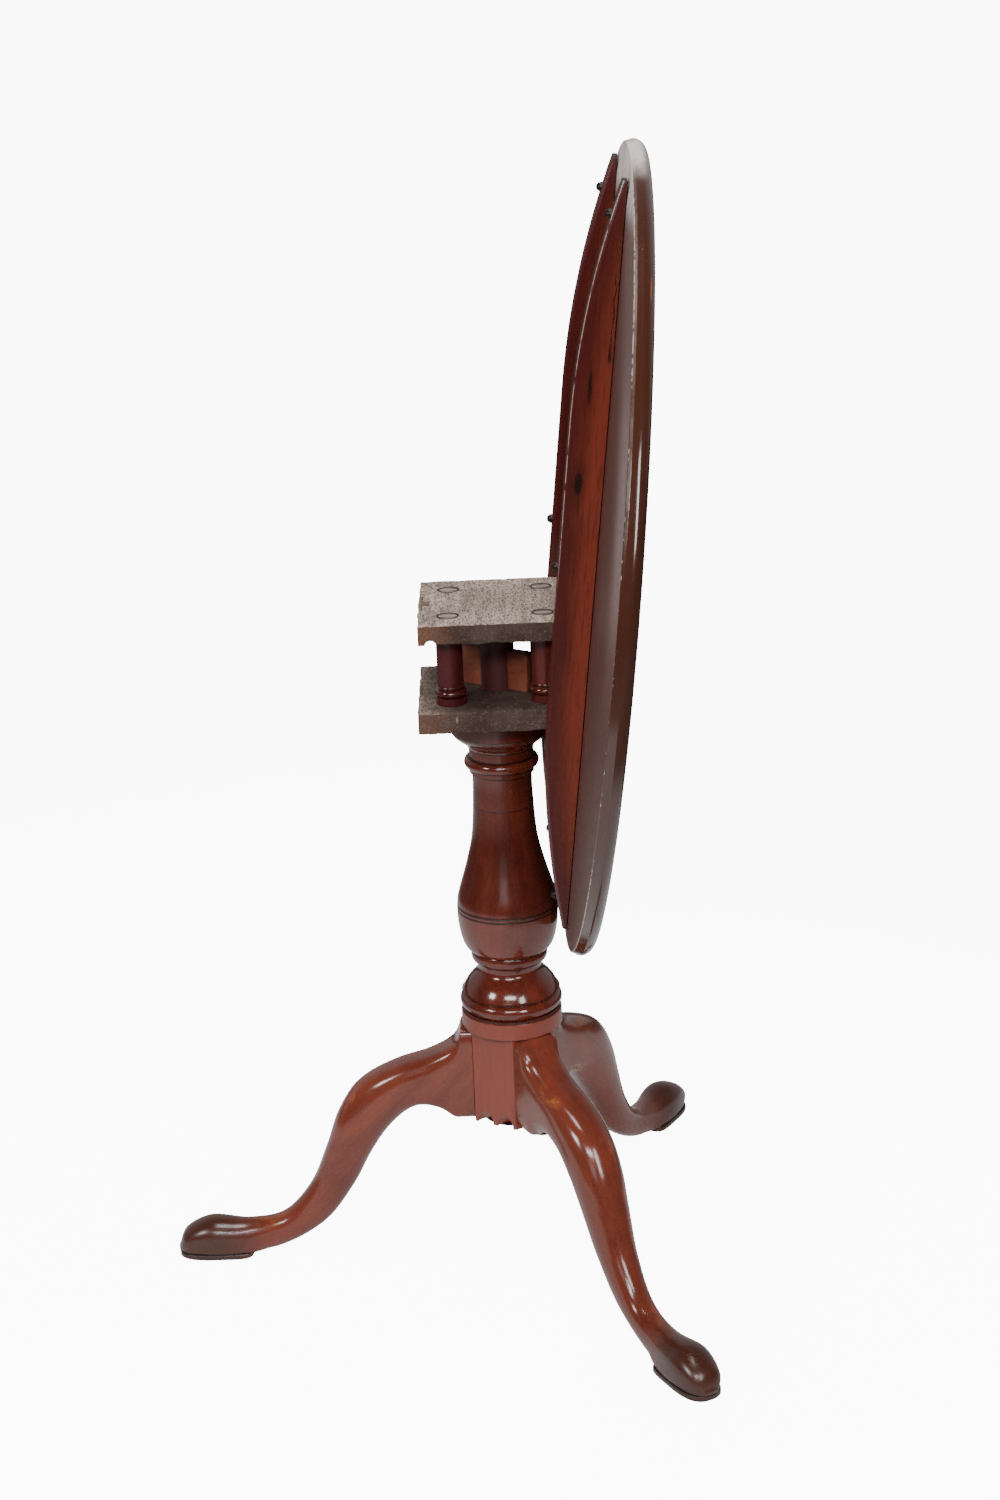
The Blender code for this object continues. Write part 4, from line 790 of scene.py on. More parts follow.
def key_look():
    """Bare orange-brown wood with dark flecks."""
    look = Look("key_bare_wood")
    tones = wood()
    along = look.local(AXIS, (0.0, 0.0, -KEY_TURN))
    flecks = look.noise(look.scaled(along, (1.0, 6.0, 6.0)), 130.0, 3.0)
    cloud = look.noise(along, 55.0, 4.0)
    look.shade = look.mix(look.step(cloud, 0.35, 0.65) * 0.6, tones.key, tones.polish_light)
    look.coat(look.step(flecks, 0.55, 0.72) * 0.6, tones.polish_dark)
    height = look.parts(along)[2]
    aged = look.step(height, UPPER_HIGH.z - 0.003, UPPER_HIGH.z - 0.001)
    aged = aged.most(look.step(height, LOWER_LOW.z + 0.003, LOWER_LOW.z + 0.001))
    look.coat(aged * 0.8, tones.raw)
    return look.done(0.5 + cloud * 0.2, cloud - flecks * 0.4, 0.0003, specular=0.3)


def iron_look():
    """Dark iron with brown patches."""
    look = Look("dark_iron")
    tones = wood()
    cloud = look.noise(look.place, 420.0, 4.0, 0.65)
    look.shade = look.mix(look.step(cloud, 0.50, 0.70) * 0.5, tones.iron, tones.raw_edge)
    return look.done(0.28 + cloud * 0.25, cloud, 0.0001, metallic=0.85)


def brass_look():
    """Old brass with brown tarnish."""
    look = Look("old_brass")
    tones = wood()
    cloud = look.noise(look.place, 150.0, 5.0, 0.65)
    fine = look.noise(look.scaled(look.place, (1.0, 6.0, 1.0)), 500.0, 2.0)
    look.shade = look.mix(look.step(cloud, 0.40, 0.64) * 0.8, tones.brass, tones.tarnish)
    return look.done(0.26 + cloud * 0.26, cloud * 0.5 + fine * 0.5, 0.00008, metallic=1.0)


def arc(centre, radii, start, end, steps):
    """Points of an elliptical arc, its angles in degrees from the first axis to the second."""
    angles = [radians(start + (end - start) * k / steps) for k in range(steps + 1)]
    return [(centre[0] + radii[0] * cos(a), centre[1] + radii[1] * sin(a)) for a in angles]


def ogee(first, last, steps):
    """A double curve between two points of a turned profile, upright at both ends."""
    shares = [k / steps for k in range(steps + 1)]
    return [(first[0] + (last[0] - first[0]) * t * t * (3 - 2 * t), first[1] + (last[1] - first[1]) * t)
            for t in shares]


def smooth(points, steps):
    """A curve through every point, each a tuple of any length."""
    padded = [points[0]] + list(points) + [points[-1]]
    curve = []
    for before, here, there, after in zip(padded, padded[1:], padded[2:], padded[3:]):
        for k in range(steps):
            t = k / steps
            curve.append(tuple(b + (c - a) * t / 2 + (2 * a - 5 * b + 4 * c - d) * t ** 2 / 2
                               + (3 * b - a - 3 * c + d) * t ** 3 / 2
                               for a, b, c, d in zip(before, here, there, after)))
    curve.append(points[-1])
    return curve


def moved(x, y, z):
    """A shift."""
    return Matrix.Translation((x, y, z))


def about(axis, angle):
    """A turn about an axis."""
    return Matrix.Rotation(angle, 4, axis)


def fresh(name, add, **options):
    """Add a primitive under a name and open it in edit mode, with nothing else selected."""
    bpy.ops.object.select_all(action="DESELECT")
    add(**options)
    obj = bpy.context.active_object
    obj.name = name
    obj.data.name = name
    bpy.ops.object.transform_apply(location=True, rotation=True, scale=True)
    bpy.ops.object.mode_set(mode="EDIT")
    bpy.ops.mesh.select_mode(type="VERT")
    return obj


def close(obj):
    """Leave edit mode with doubles merged and faces pointing out."""
    bpy.ops.mesh.select_all(action="SELECT")
    bpy.ops.mesh.remove_doubles(threshold=MERGE)
    bpy.ops.mesh.normals_make_consistent(inside=False)
    bpy.ops.object.mode_set(mode="OBJECT")
    return obj


def pick(obj):
    """Select one object alone."""
    bpy.ops.object.select_all(action="DESELECT")
    obj.select_set(True)
    bpy.context.view_layer.objects.active = obj


def placed(obj, matrix):
    """Move a shape to its place and keep that place in its mesh."""
    obj.matrix_world = matrix
    pick(obj)
    bpy.ops.object.transform_apply(location=True, rotation=True, scale=True)
    return obj


def choose(obj, test):
    """Select the edges of the mesh in edit mode that pass a test."""
    bpy.ops.mesh.select_mode(type="EDGE")
    bpy.ops.mesh.select_all(action="DESELECT")
    bm = bmesh.from_edit_mesh(obj.data)
    for edge in bm.edges:
        if test(edge):
            edge.select_set(True)
    bmesh.update_edit_mesh(obj.data)


def bevel(obj, test, width, segments):
    """Round the edges that pass a test."""
    choose(obj, test)
    bpy.ops.mesh.bevel(offset=width, segments=segments, affect="EDGES")


def copied(first, name):
    """A copy of a finished shape under another name."""
    made = first.copy()
    made.data = first.data.copy()
    made.name = name
    bpy.context.collection.objects.link(made)
    return made


def is_sharp(edge):
    """Whether the two faces at an edge meet at a corner."""
    return edge.calc_face_angle(0.0) > radians(50.0)


def runs_along(edge, axis):
    """Whether an edge lies along an axis."""
    way = (edge.verts[0].co - edge.verts[1].co).normalized()
    return abs(way[axis]) > 0.99


def block(name, low, high):
    """A box between two corners, left open in edit mode."""
    obj = fresh(name, bpy.ops.mesh.primitive_cube_add, size=1.0)
    bpy.ops.transform.resize(value=Vector(high) - Vector(low))
    bpy.ops.transform.translate(value=(Vector(low) + Vector(high)) / 2)
    return obj


def box(name, low, high):
    """A closed box between two corners, used to cut."""
    return close(block(name, low, high))


def prism(name, sides, radius, bottom, top):
    """An upright cylinder or prism between two heights, left open in edit mode."""
    return fresh(name, bpy.ops.mesh.primitive_cylinder_add, vertices=sides, radius=radius, depth=top - bottom,
                 location=(0.0, 0.0, (top + bottom) / 2))


def rod(radius, bottom, top, sides=BORE_SIDES, matrix=Matrix()):
    """A plain cylinder, used to cut or to join."""
    return placed(close(prism("rod", sides, radius, bottom, top)), matrix)


def turned(name, profile, sides):
    """Turn a profile of radius and height: one point is extruded along it, and the line is spun round Z."""
    obj = fresh(name, bpy.ops.mesh.primitive_plane_add, size=0.01)
    bpy.ops.mesh.merge(type="CENTER")
    bpy.ops.transform.translate(value=(profile[0][0], 0.0, profile[0][1]))
    for here, there in zip(profile, profile[1:]):
        step = (there[0] - here[0], 0.0, there[1] - here[1])
        bpy.ops.mesh.extrude_region_move(TRANSFORM_OT_translate={"value": step})
    bpy.ops.mesh.select_all(action="SELECT")
    bpy.ops.mesh.spin(steps=sides, angle=2 * pi, center=(0.0, 0.0, 0.0), axis=(0.0, 0.0, 1.0))
    return close(obj)


def lofted(name, rings):
    """A tube through rings of points: a straight cylinder, cut across once for each ring and set in place."""
    count = len(rings[0])
    last = len(rings) - 1
    obj = fresh(name, bpy.ops.mesh.primitive_cylinder_add, vertices=count, radius=1.0, depth=1.0)
    choose(obj, lambda edge: runs_along(edge, 2))
    if last > 1:
        bpy.ops.mesh.subdivide(number_cuts=last - 1)
    bpy.ops.object.mode_set(mode="OBJECT")
    for vertex in obj.data.vertices:
        row = round((vertex.co.z + 0.5) * last)
        step = round(atan2(vertex.co.x, vertex.co.y) / (2 * pi) * count) % count
        vertex.co = rings[row][step]
    bpy.ops.object.mode_set(mode="EDIT")
    return close(obj)


def cut(obj, tools, operation="DIFFERENCE"):
    """Cut closed shapes out of a piece in one go, or join them to it."""
    pick(tools[0])
    for tool in tools:
        tool.select_set(True)
    if len(tools) > 1:
        bpy.ops.object.join()
    modifier = obj.modifiers.new("cut", "BOOLEAN")
    modifier.operation = operation
    modifier.object = tools[0]
    pick(obj)
    bpy.ops.object.modifier_apply(modifier=modifier.name)
    bpy.data.objects.remove(tools[0])
    return obj


def rub(obj, low, high, seed):
    """Rub the edges of a board down unevenly."""
    reach = shape().wear_reach
    for vertex in obj.data.vertices:
        near = [min(vertex.co[k] - low[k], high[k] - vertex.co[k]) for k in range(3)]
        second = sorted(near)[1]
        if second < reach:
            rough = noise.noise(vertex.co * WEAR_COARSE + Vector((seed, 0.0, 0.0)))
            rough += WEAR_FINE_SHARE * noise.noise(vertex.co * WEAR_FINE + Vector((0.0, seed, 0.0)))
            push = shape().edge_wear * max(0.0, WEAR_LEAST + rough) * (1.0 - max(0.0, second) / reach)
            for k in range(3):
                if near[k] < reach:
                    vertex.co[k] += push if vertex.co[k] - low[k] < reach else -push
    return obj


def fit(obj, node, material, angle=35.0):
    """Shade a finished piece, give it its finish, and let it stand for its solid."""
    pick(obj)
    bpy.ops.object.shade_smooth_by_angle(angle=radians(angle))
    flat = obj.modifiers.new("flat", "WEIGHTED_NORMAL")
    flat.keep_sharp = True
    bpy.ops.object.modifier_apply(modifier=flat.name)
    obj.data.materials.clear()
    obj.data.materials.append(material)
    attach(obj, BODY_OF[node])
    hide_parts(node)
    return obj


def dress(node, material):
    """Give a solid that is shown as it is its finish."""
    obj = frame["nodes"][node]
    obj.data.materials.clear()
    obj.data.materials.append(material)


def column_profile():
    """The column's turned outline from the spindle's top down to the underside of the drum."""
    swell = SWELL_RADIUS - NECK_RADIUS
    vase = [(NECK_RADIUS, FILLET_BASE)]
    vase += [(NECK_RADIUS + swell * out, SWELL_LINE + VASE_HEIGHT * up) for out, up in VASE_CURVE]
    vase += [(SWELL_RADIUS - INCISION / 3, SWELL_LINE + SWELL_BAND + INCISION)]
    ring = (BOWL_BASE - RING_BASE) / 2
    upper_ring = (UPPER_NECK - UPPER_RING_BASE) / 2
    torus = (TORUS_TOP - TORUS_BASE) / 2
    neck = NECK_RADIUS + NECK_FILLET
    corner = INCISION
    points = [(0.0, SPINDLE_TOP), (SPINDLE_RADIUS - corner, SPINDLE_TOP)]
    points += [(SPINDLE_RADIUS, SPINDLE_TOP - corner), (SPINDLE_RADIUS, CAP_TOP)]
    points += [(CAP_RADIUS - corner, CAP_TOP), (CAP_RADIUS, CAP_TOP - corner)]
    points += [(CAP_RADIUS, CAP_BAND + corner), (CAP_RADIUS - corner / 2, CAP_BAND)]
    points += ogee((CAP_RADIUS - CAP_SET_BACK, CAP_BAND), (neck + corner, CAP_BASE + corner), 16)
    points += [(neck, CAP_BASE), (neck, UPPER_NECK)]
    middle = (UPPER_RING_RADIUS - upper_ring, UPPER_NECK - upper_ring)
    points += arc(middle, (upper_ring, upper_ring), 80, -80, 14)
    points += [(neck, UPPER_RING_BASE), (neck, FILLET_BASE + corner), (neck - corner, FILLET_BASE)]
    points += smooth(vase, 10)
    band = SWELL_LINE + SWELL_BAND
    points += [(SWELL_RADIUS - INCISION, band), (SWELL_RADIUS, band - INCISION)]
    points += [(SWELL_RADIUS, SWELL_LINE + INCISION), (SWELL_RADIUS - INCISION, SWELL_LINE)]
    bowl = (SWELL_RADIUS - RING_RADIUS, SWELL_LINE - INCISION - BOWL_BASE)
    points += arc((RING_RADIUS, SWELL_LINE - INCISION), bowl, 0, -90, 24)
    points += arc((RING_RADIUS - ring / 2, BOWL_BASE - ring), (ring / 2, ring), 80, -80, 12)
    points += [(RING_RADIUS - ring / 2, RING_BASE)] + smooth(FLARE, 5)
    points += [(DRUM_RADIUS - OGEE_SET_BACK, OGEE_BASE), (DRUM_RADIUS - BEAD_SET_BACK, TORUS_TOP)]
    points += arc((DRUM_RADIUS + TORUS_SWELL - torus, TORUS_TOP - torus), (torus, torus), 60, -70, 16)
    points += [(DRUM_RADIUS - GROOVE_DEPTH, TORUS_BASE), (DRUM_RADIUS - GROOVE_DEPTH, DRUM_TOP)]
    points += [(DRUM_RADIUS - corner / 2, DRUM_TOP), (DRUM_RADIUS, DRUM_TOP - corner)]
    points += [(DRUM_RADIUS, DRUM_BASE + corner / 2), (DRUM_RADIUS - corner / 2, DRUM_BASE), (0.0, DRUM_BASE)]
    return points


def tongue(angle, slack):
    """Dovetail of a leg, or with slack its socket, pointing at the column's axis."""
    face = CORE_APOTHEM + FIT
    flare = (TONGUE_TAIL - TONGUE_NECK) / 2 / TONGUE_LENGTH
    tip = face - TONGUE_LENGTH - slack
    wide = TONGUE_TAIL / 2 + slack
    narrow = TONGUE_NECK / 2 - flare * CUT_PAST + slack
    outline = ((face + CUT_PAST, -narrow), (face + CUT_PAST, narrow), (tip, wide), (tip, -wide))
    bottom = CORE_BOTTOM - (CUT_PAST if slack else 0.0)
    top = CORE_BOTTOM + TONGUE_HEIGHT + slack
    rings = [[Vector((x, y, z)) for x, y in outline] for z in (bottom, top)]
    return placed(lofted("tongue", rings), about("Z", angle))


class TABLE_OT_column(bpy.types.Operator):
    """Turn the column, give it its six-sided foot and cut its sockets, scoops and mortise"""

    bl_idname = "table.column"
    bl_label = "Column"

    def execute(self, context):
        made = turned("turned_column", column_profile(), COLUMN_SIDES)
        corner = CORE_APOTHEM / cos(pi / CORE_SIDES)
        foot = prism("foot", CORE_SIDES, corner, CORE_BOTTOM, (DRUM_BASE + DRUM_TOP) / 2)
        bevel(foot, lambda edge: runs_along(edge, 2), INCISION, 3)
        cut(made, [placed(close(foot), about("Z", LEGS["leg_left"]))], "UNION")
        tools = [tongue(angle, FIT) for angle in LEGS.values()]
        for angle in LEGS.values():
            for side in (-1, 1):
                place = moved(CORE_APOTHEM, side * GOUGE_SPACING / 2, CORE_BOTTOM) @ about("Y", GOUGE_LEAN)
                tools.append(rod(GOUGE_RADIUS, -CORE_APOTHEM, CORE_APOTHEM, GOUGE_SIDES,
                                 about("Z", angle + pi / 3) @ place))
        half = KEY_THICK / 2 + FIT
        past = SPINDLE_RADIUS + CUT_PAST
        low, high = LOWER_HIGH.z - MORTISE_DROP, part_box("cage_key")[1].z + MORTISE_RISE
        mortise = box("mortise", (-past, -half, low), (past, half, high))
        tools.append(placed(mortise, about("Z", KEY_TURN)))
        cut(made, tools)
        fit(placed(made, UPRIGHT), "column", column_look(), angle=32.0)
        return {"FINISHED"}


def oval(angle, squareness):
    """A point of an oval one unit in radius, at an angle in radians."""
    power = 2 / squareness
    across = abs(cos(angle)) ** power * (1 if cos(angle) > 0 else -1)
    up = abs(sin(angle)) ** power * (1 if sin(angle) > 0 else -1)
    return across, up


def leg_rings(fullness):
    """Rings of points round a leg from its root to its domed toe, with its knee's hollow filled a little."""
    reach = TOE_REACH - LEG_ROOT
    rise = DRUM_BASE - FIT
    rows = smooth([(LEG_ROOT + reach * out, rise * up, LEG_ROOT + reach * low_out, CORE_BOTTOM * low_up,
                    LEG_HALF_WIDTH * wide) for out, up, low_out, low_up, wide in LEG_CURVE], LEG_STEPS)
    face = CORE_APOTHEM + FIT
    rows = [(face, rows[0][1], face, rows[0][3], rows[0][4])] + rows
    rings = []
    for k, row in enumerate(rows):
        square = FOOT_SQUARENESS + (ROOT_SQUARENESS - FOOT_SQUARENESS) * max(0.0, 1 - 3 * k / len(rows))
        flat = min(1.0, max(0.0, (row[2] - TOE_REACH + 2 * PAD_HALF_LENGTH) / HEEL_RUN + 0.5))
        sole = square + (SOLE_SQUARENESS - square) * flat
        upper = Vector((row[0], 0.0, row[1]))
        share = (k - HOLLOW_START) / (HOLLOW_END - HOLLOW_START)
        hollow = fullness * sin(pi * min(1.0, max(0.0, share)))
        lower = Vector((row[2] - hollow, 0.0, row[3] - hollow))
        ring = []
        for side in range(LEG_SIDES):
            angle = 2 * pi * (side + 0.5) / LEG_SIDES
            across, up = oval(angle, square if angle < pi else sole)
            ring.append((upper + lower) / 2 + (upper - lower) / 2 * up + Vector((0.0, row[4] * across, 0.0)))
        rings.append(ring)
    end = rings[-1]
    middle = sum(end, Vector()) / LEG_SIDES
    for turn in TOE_TURNS:
        ahead = Vector((TOE_DOME * sin(radians(turn)), 0.0, 0.0))
        rings.append([middle + (point - middle) * cos(radians(turn)) + ahead for point in end])
    return rings


def pad_rings():
    """Rings up a pad, with softened edges: round at the toe and blunt at the heel."""
    middle = TOE_REACH - PAD_HALF_LENGTH
    rings = []
    for inset, height in PAD_EDGE:
        half = PAD_HALF_LENGTH - inset
        wide = PAD_HALF_WIDTH - inset
        ring = []
        for side in range(PAD_SIDES):
            angle = 2 * pi * side / PAD_SIDES
            ahead, across = oval(angle, PAD_TOE_SQUARENESS if cos(angle) > 0 else PAD_HEEL_SQUARENESS)
            ring.append(Vector((middle + half * ahead, wide * across, height)))
        rings.append(ring)
    return rings


class TABLE_OT_legs(bpy.types.Operator):
    """Model three cabriole legs with their dovetails and pads"""

    bl_idname = "table.legs"
    bl_label = "Legs"

    def execute(self, context):
        for node, angle in LEGS.items():
            around = about("Z", angle)
            made = placed(lofted("cabriole_" + node, leg_rings(FULLNESS[node])), around)
            cut(made, [placed(lofted("pad", pad_rings()), around)], "UNION")
            cut(made, [tongue(angle, 0.0)], "UNION")
            fit(placed(made, UPRIGHT), node, leg_look(node, angle), angle=48.0)
        return {"FINISHED"}


def board(name, low, high, rounded):
    """A board with rubbed edges, its hinge edge rounded where it turns in the top."""
    made = block(name, low, high)
    if rounded:
        half = (high.z - low.z) / 2 - MERGE
        bevel(made, lambda edge: runs_along(edge, 1) and edge.verts[0].co.x > 0, half, 10)
    choose(made, lambda edge: is_sharp(edge) and (runs_along(edge, 0) or runs_along(edge, 1)))
    bpy.ops.mesh.subdivide(number_cuts=BOARD_CUTS)
    bevel(made, is_sharp, shape().edge_wear / 2, 2)
    close(made)
    return rub(made, low, high, UPPER_SEED if rounded else LOWER_SEED)


def tenon_holes(low, high):
    """Round holes for the pillars' tenons."""
    return [rod(TENON_RADIUS + FIT, low.z - CUT_PAST, high.z + CUT_PAST, TENON_SIDES,
                moved(x * PILLAR_PLACE, y * PILLAR_PLACE, 0.0)) for x, y in PILLARS.values()]


class TABLE_OT_boards(bpy.types.Operator):
    """Model the cage's two boards with their holes, pintles, worn edges and the keeper's recess"""

    bl_idname = "table.boards"
    bl_label = "Cage Boards"

    def execute(self, context):
        low = Vector((UPPER_LOW.x, -BLOCK_HALF_DEPTH, UPPER_LOW.z))
        high = Vector((UPPER_HIGH.x, BLOCK_HALF_DEPTH, UPPER_HIGH.z))
        upper = board("cage_upper_board", low, high, True)
        along_hinge = moved(HINGE_REACH, 0.0, HINGE.z) @ about("X", pi / 2)
        cut(upper, [rod(PINTLE_RADIUS, UPPER_LOW.y, UPPER_HIGH.y, matrix=along_hinge)], "UNION")
        inner = low.x + KEEPER.x + FIT
        side = KEEPER.y / 2 + FIT
        wide = BOLT.y / 2 + 2 * RUNNING_FIT
        floor = HINGE.z + BOLT_TOP - BOLT.z - RUNNING_FIT
        past = high.z + CUT_PAST
        bore = SPINDLE_RADIUS + RUNNING_FIT
        cut(upper, tenon_holes(low, high) + [rod(bore, low.z - CUT_PAST, low.z + SPINDLE_SEAT)])
        cut(upper, [box("rebate", (low.x - CUT_PAST, -side, high.z - KEEPER.z - FIT), (inner, side, past))])
        cut(upper, [box("pocket", (inner - FIT, -wide, floor), (inner + POCKET_DEPTH, wide, past))])
        chip = fresh("chip", bpy.ops.mesh.primitive_uv_sphere_add, segments=28, ring_count=18, radius=1.0)
        bpy.ops.transform.resize(value=CHIP_RADII)
        bpy.ops.transform.translate(value=CHIP_PLACE)
        cut(upper, [close(chip)])
        look = board_look("upper_board", low, high, pale_edge=0.2, share=1.0)
        fit(placed(upper, UPRIGHT), "cage_upper_block", look, angle=30.0)
        lower = board("cage_lower_board", LOWER_LOW, LOWER_HIGH, False)
        through = rod(bore, LOWER_LOW.z - CUT_PAST, LOWER_HIGH.z + CUT_PAST)
        cut(lower, tenon_holes(LOWER_LOW, LOWER_HIGH) + [through])
        look = board_look("lower_board", LOWER_LOW, LOWER_HIGH, pale_edge=-0.055, share=0.55)
        fit(placed(lower, UPRIGHT), "cage_lower_block", look, angle=30.0)
        return {"FINISHED"}


def pillar_profile():
    """Outline of a pillar and its tenons, from the upper tenon down."""
    top = UPPER_LOW.z - FIT
    bottom = LOWER_HIGH.z + FIT
    plinth = bottom + PILLAR_PLINTH_HEIGHT
    base = bottom + PILLAR_BASE_HEIGHT
    torus = (PILLAR_BASE_HEIGHT - PILLAR_PLINTH_HEIGHT) * 0.4
    collar = top - PILLAR_COLLAR_HEIGHT
    points = [(0.0, UPPER_HIGH.z - FIT), (TENON_RADIUS, UPPER_HIGH.z - FIT), (TENON_RADIUS, top)]
    points += [(PILLAR_COLLAR_RADIUS - FIT, top), (PILLAR_COLLAR_RADIUS, top - FIT)]
    points += [(PILLAR_COLLAR_RADIUS, collar)]
    points += [(PILLAR_RADIUS - FIT, collar - FIT), (PILLAR_RADIUS, collar - 3 * FIT)]
    points += [(PILLAR_RADIUS, base + 2 * PILLAR_BEAD)]
    points += arc((PILLAR_RADIUS + PILLAR_BEAD, base + PILLAR_BEAD), (PILLAR_BEAD, PILLAR_BEAD), 180, 270, 5)
    points += arc((PILLAR_BASE_RADIUS - torus, plinth + torus), (torus, torus), 75, -70, 12)
    points += [(PILLAR_PLINTH_RADIUS - FIT, plinth), (PILLAR_PLINTH_RADIUS, plinth - FIT)]
    points += [(PILLAR_PLINTH_RADIUS, bottom)]
    points += [(TENON_RADIUS, bottom), (TENON_RADIUS, LOWER_LOW.z + FIT), (0.0, LOWER_LOW.z + FIT)]
    return points


def wedge_slots():
    """Slots across a pillar's tenons for their wedges."""
    thick = WEDGE_THICK / 2 + FIT
    half = TENON_RADIUS + FIT
    ends = ((UPPER_HIGH.z - WEDGE_DEPTH - FIT, UPPER_HIGH.z + CUT_PAST),
            (LOWER_LOW.z - CUT_PAST, LOWER_LOW.z + WEDGE_DEPTH + FIT))
    return [box("slot", (-half, -thick, low), (half, thick, high)) for low, high in ends]


class TABLE_OT_pillars(bpy.types.Operator):
    """Turn the cage's four pillars and slot their tenons"""

    bl_idname = "table.pillars"
    bl_label = "Cage Pillars"

    def execute(self, context):
        look = pillar_look()
        first = cut(turned("pillar", pillar_profile(), PILLAR_SIDES), wedge_slots())
        for name, (x, y) in PILLARS.items():
            made = copied(first, "turned_pillar_" + name)
            placed(made, UPRIGHT @ moved(x * PILLAR_PLACE, y * PILLAR_PLACE, 0.0))
            fit(made, "cage_pillar_" + name, look, angle=32.0)
        bpy.data.objects.remove(first)
        return {"FINISHED"}


class TABLE_OT_key(bpy.types.Operator):
    """Model the key through the spindle and finish the tenons' wedges in the same wood"""

    bl_idname = "table.key"
    bl_label = "Key and Wedges"

    def execute(self, context):
        low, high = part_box("cage_key")
        half = KEY_THICK / 2
        worn = low.z + (high.z - low.z) * KEY_RISE
        end = KEY_HALF_LENGTH - KEY_WEAR
        made = block("spindle_key", (-KEY_HALF_LENGTH, -half, low.z), (end, half, worn))
        bevel(made, lambda edge: min(vertex.co.x for vertex in edge.verts) > 0, half / 2, 3)
        bevel(made, is_sharp, FIT * 2, 2)
        look = key_look()
        fit(placed(close(made), UPRIGHT @ about("Z", KEY_TURN)), "cage_key", look)
        for name in PILLARS:
            dress("tenon_wedge_upper_" + name, look)
            dress("tenon_wedge_lower_" + name, look)
        return {"FINISHED"}


def top_profile():
    """Section of the round top from its upper face, round the rim, to its underside."""
    face = UNDERSIDE + TOP_THICK
    points = [(0.0, face)]
    points += arc((TOP_RADIUS - RIM_RUN, face - RIM_FALL), (RIM_RUN, RIM_FALL), 90, 0, 18)
    points += [(ARRIS_RADIUS, UNDERSIDE + ARRIS_RISE + ARRIS_FLAT)]
    points += [(ARRIS_RADIUS - 2 * ARRIS_FLAT, UNDERSIDE + ARRIS_RISE - ARRIS_FLAT / 6)]
    points += [(ARRIS_RADIUS - BEVEL_WIDTH, UNDERSIDE), (0.0, UNDERSIDE)]
    return points


class TABLE_OT_top(bpy.types.Operator):
    """Turn the round top, with its rounded rim, arris and bevelled underside"""

    bl_idname = "table.top"
    bl_label = "Top"

    def execute(self, context):
        made = turned("round_top", top_profile(), TOP_SIDES)
        placed(made, RAISED @ moved(TOP_CENTRE, 0.0, 0.0))
        fit(made, "table_top", top_look(), angle=15.0)
        return {"FINISHED"}


def bearer_depth(along):
    """Depth of a bearer at a distance from the middle of its length."""
    share = max(0.0, (abs(along) - BEARER_FLAT) / (BEARER_HALF_LENGTH - BEARER_FLAT))
    return BEARER_END_DEPTH + (BEARER_DEPTH - BEARER_END_DEPTH) * (1 - share * share)


def bearer_rings():
    """Sections along a bearer: square beside the top and rounded at the outer edge."""
    half = BEARER_THICK / 2
    small = FIT * 2
    rings = []
    for k in range(BEARER_STEPS + 1):
        along = BEARER_HALF_LENGTH * (2 * k / BEARER_STEPS - 1)
        depth = bearer_depth(along)
        curve = min(shape().bearer_round, depth * 0.45)
        low = BEARER_TOP - depth
        section = arc((half - small, BEARER_TOP - small), (small, small), 90, 0, 3)
        section += [(half, BEARER_TOP - 2 * small), (half, low + curve + small / 2)]
        section += arc((half - curve, low + curve), (curve, curve), 0, -90, 8)
        section += [(-across, height) for across, height in reversed(section)]
        rings.append([Vector((along, across, height)) for across, height in section])
    return rings


class TABLE_OT_bearers(bpy.types.Operator):
    """Model the two tapered bearers and bore them, blind, for the pintles"""

    bl_idname = "table.bearers"
    bl_label = "Bearers"

    def execute(self, context):
        look = bearer_look()
        for node, side in (("bearer_front", -1), ("bearer_back", 1)):
            made = lofted("tapered_" + node, bearer_rings())
            placed(made, moved(BEARER_MIDDLE, side * BEARER_ACROSS, 0.0))
            inside = moved(0.0, side * (BEARER_INSIDE - PINTLE_COVER), 0.0) @ about("X", pi / 2)
            tools = [rod(PINTLE_RADIUS + RUNNING_FIT, -BEARER_THICK, BEARER_THICK, matrix=inside)]
            for along in SCREW_PLACES:
                edge = BEARER_TOP - bearer_depth(along)
                tools.append(rod(SCREW_SEAT_RADIUS, edge - CUT_PAST, edge + SCREW_SEAT, SEAT_SIDES,
                                 moved(BEARER_MIDDLE + along, side * BEARER_ACROSS, 0.0)))
            cut(made, tools)
            fit(placed(made, RAISED), node, look, angle=40.0)
        return {"FINISHED"}


def screw_shape(shank, head, height, tip):
    """A screw that points up from its seat at Z 0, with a slotted dome below."""
    points = [(0.0, tip), (shank * 0.35, tip - shank), (shank, tip - 3 * shank), (shank, 0.0), (head, 0.0)]
    points += arc((0.0, -height / 4), (head, height * 3 / 4), 0, -88, 9) + [(0.0, -height)]
    made = turned("screw", points, SCREW_SIDES)
    slot = shape().slot_width / 2 * (head / SLOT_HEAD) ** 0.5
    return cut(made, [box("slot", (-head, -slot, -height * 2), (head, slot, -height * 0.62))])


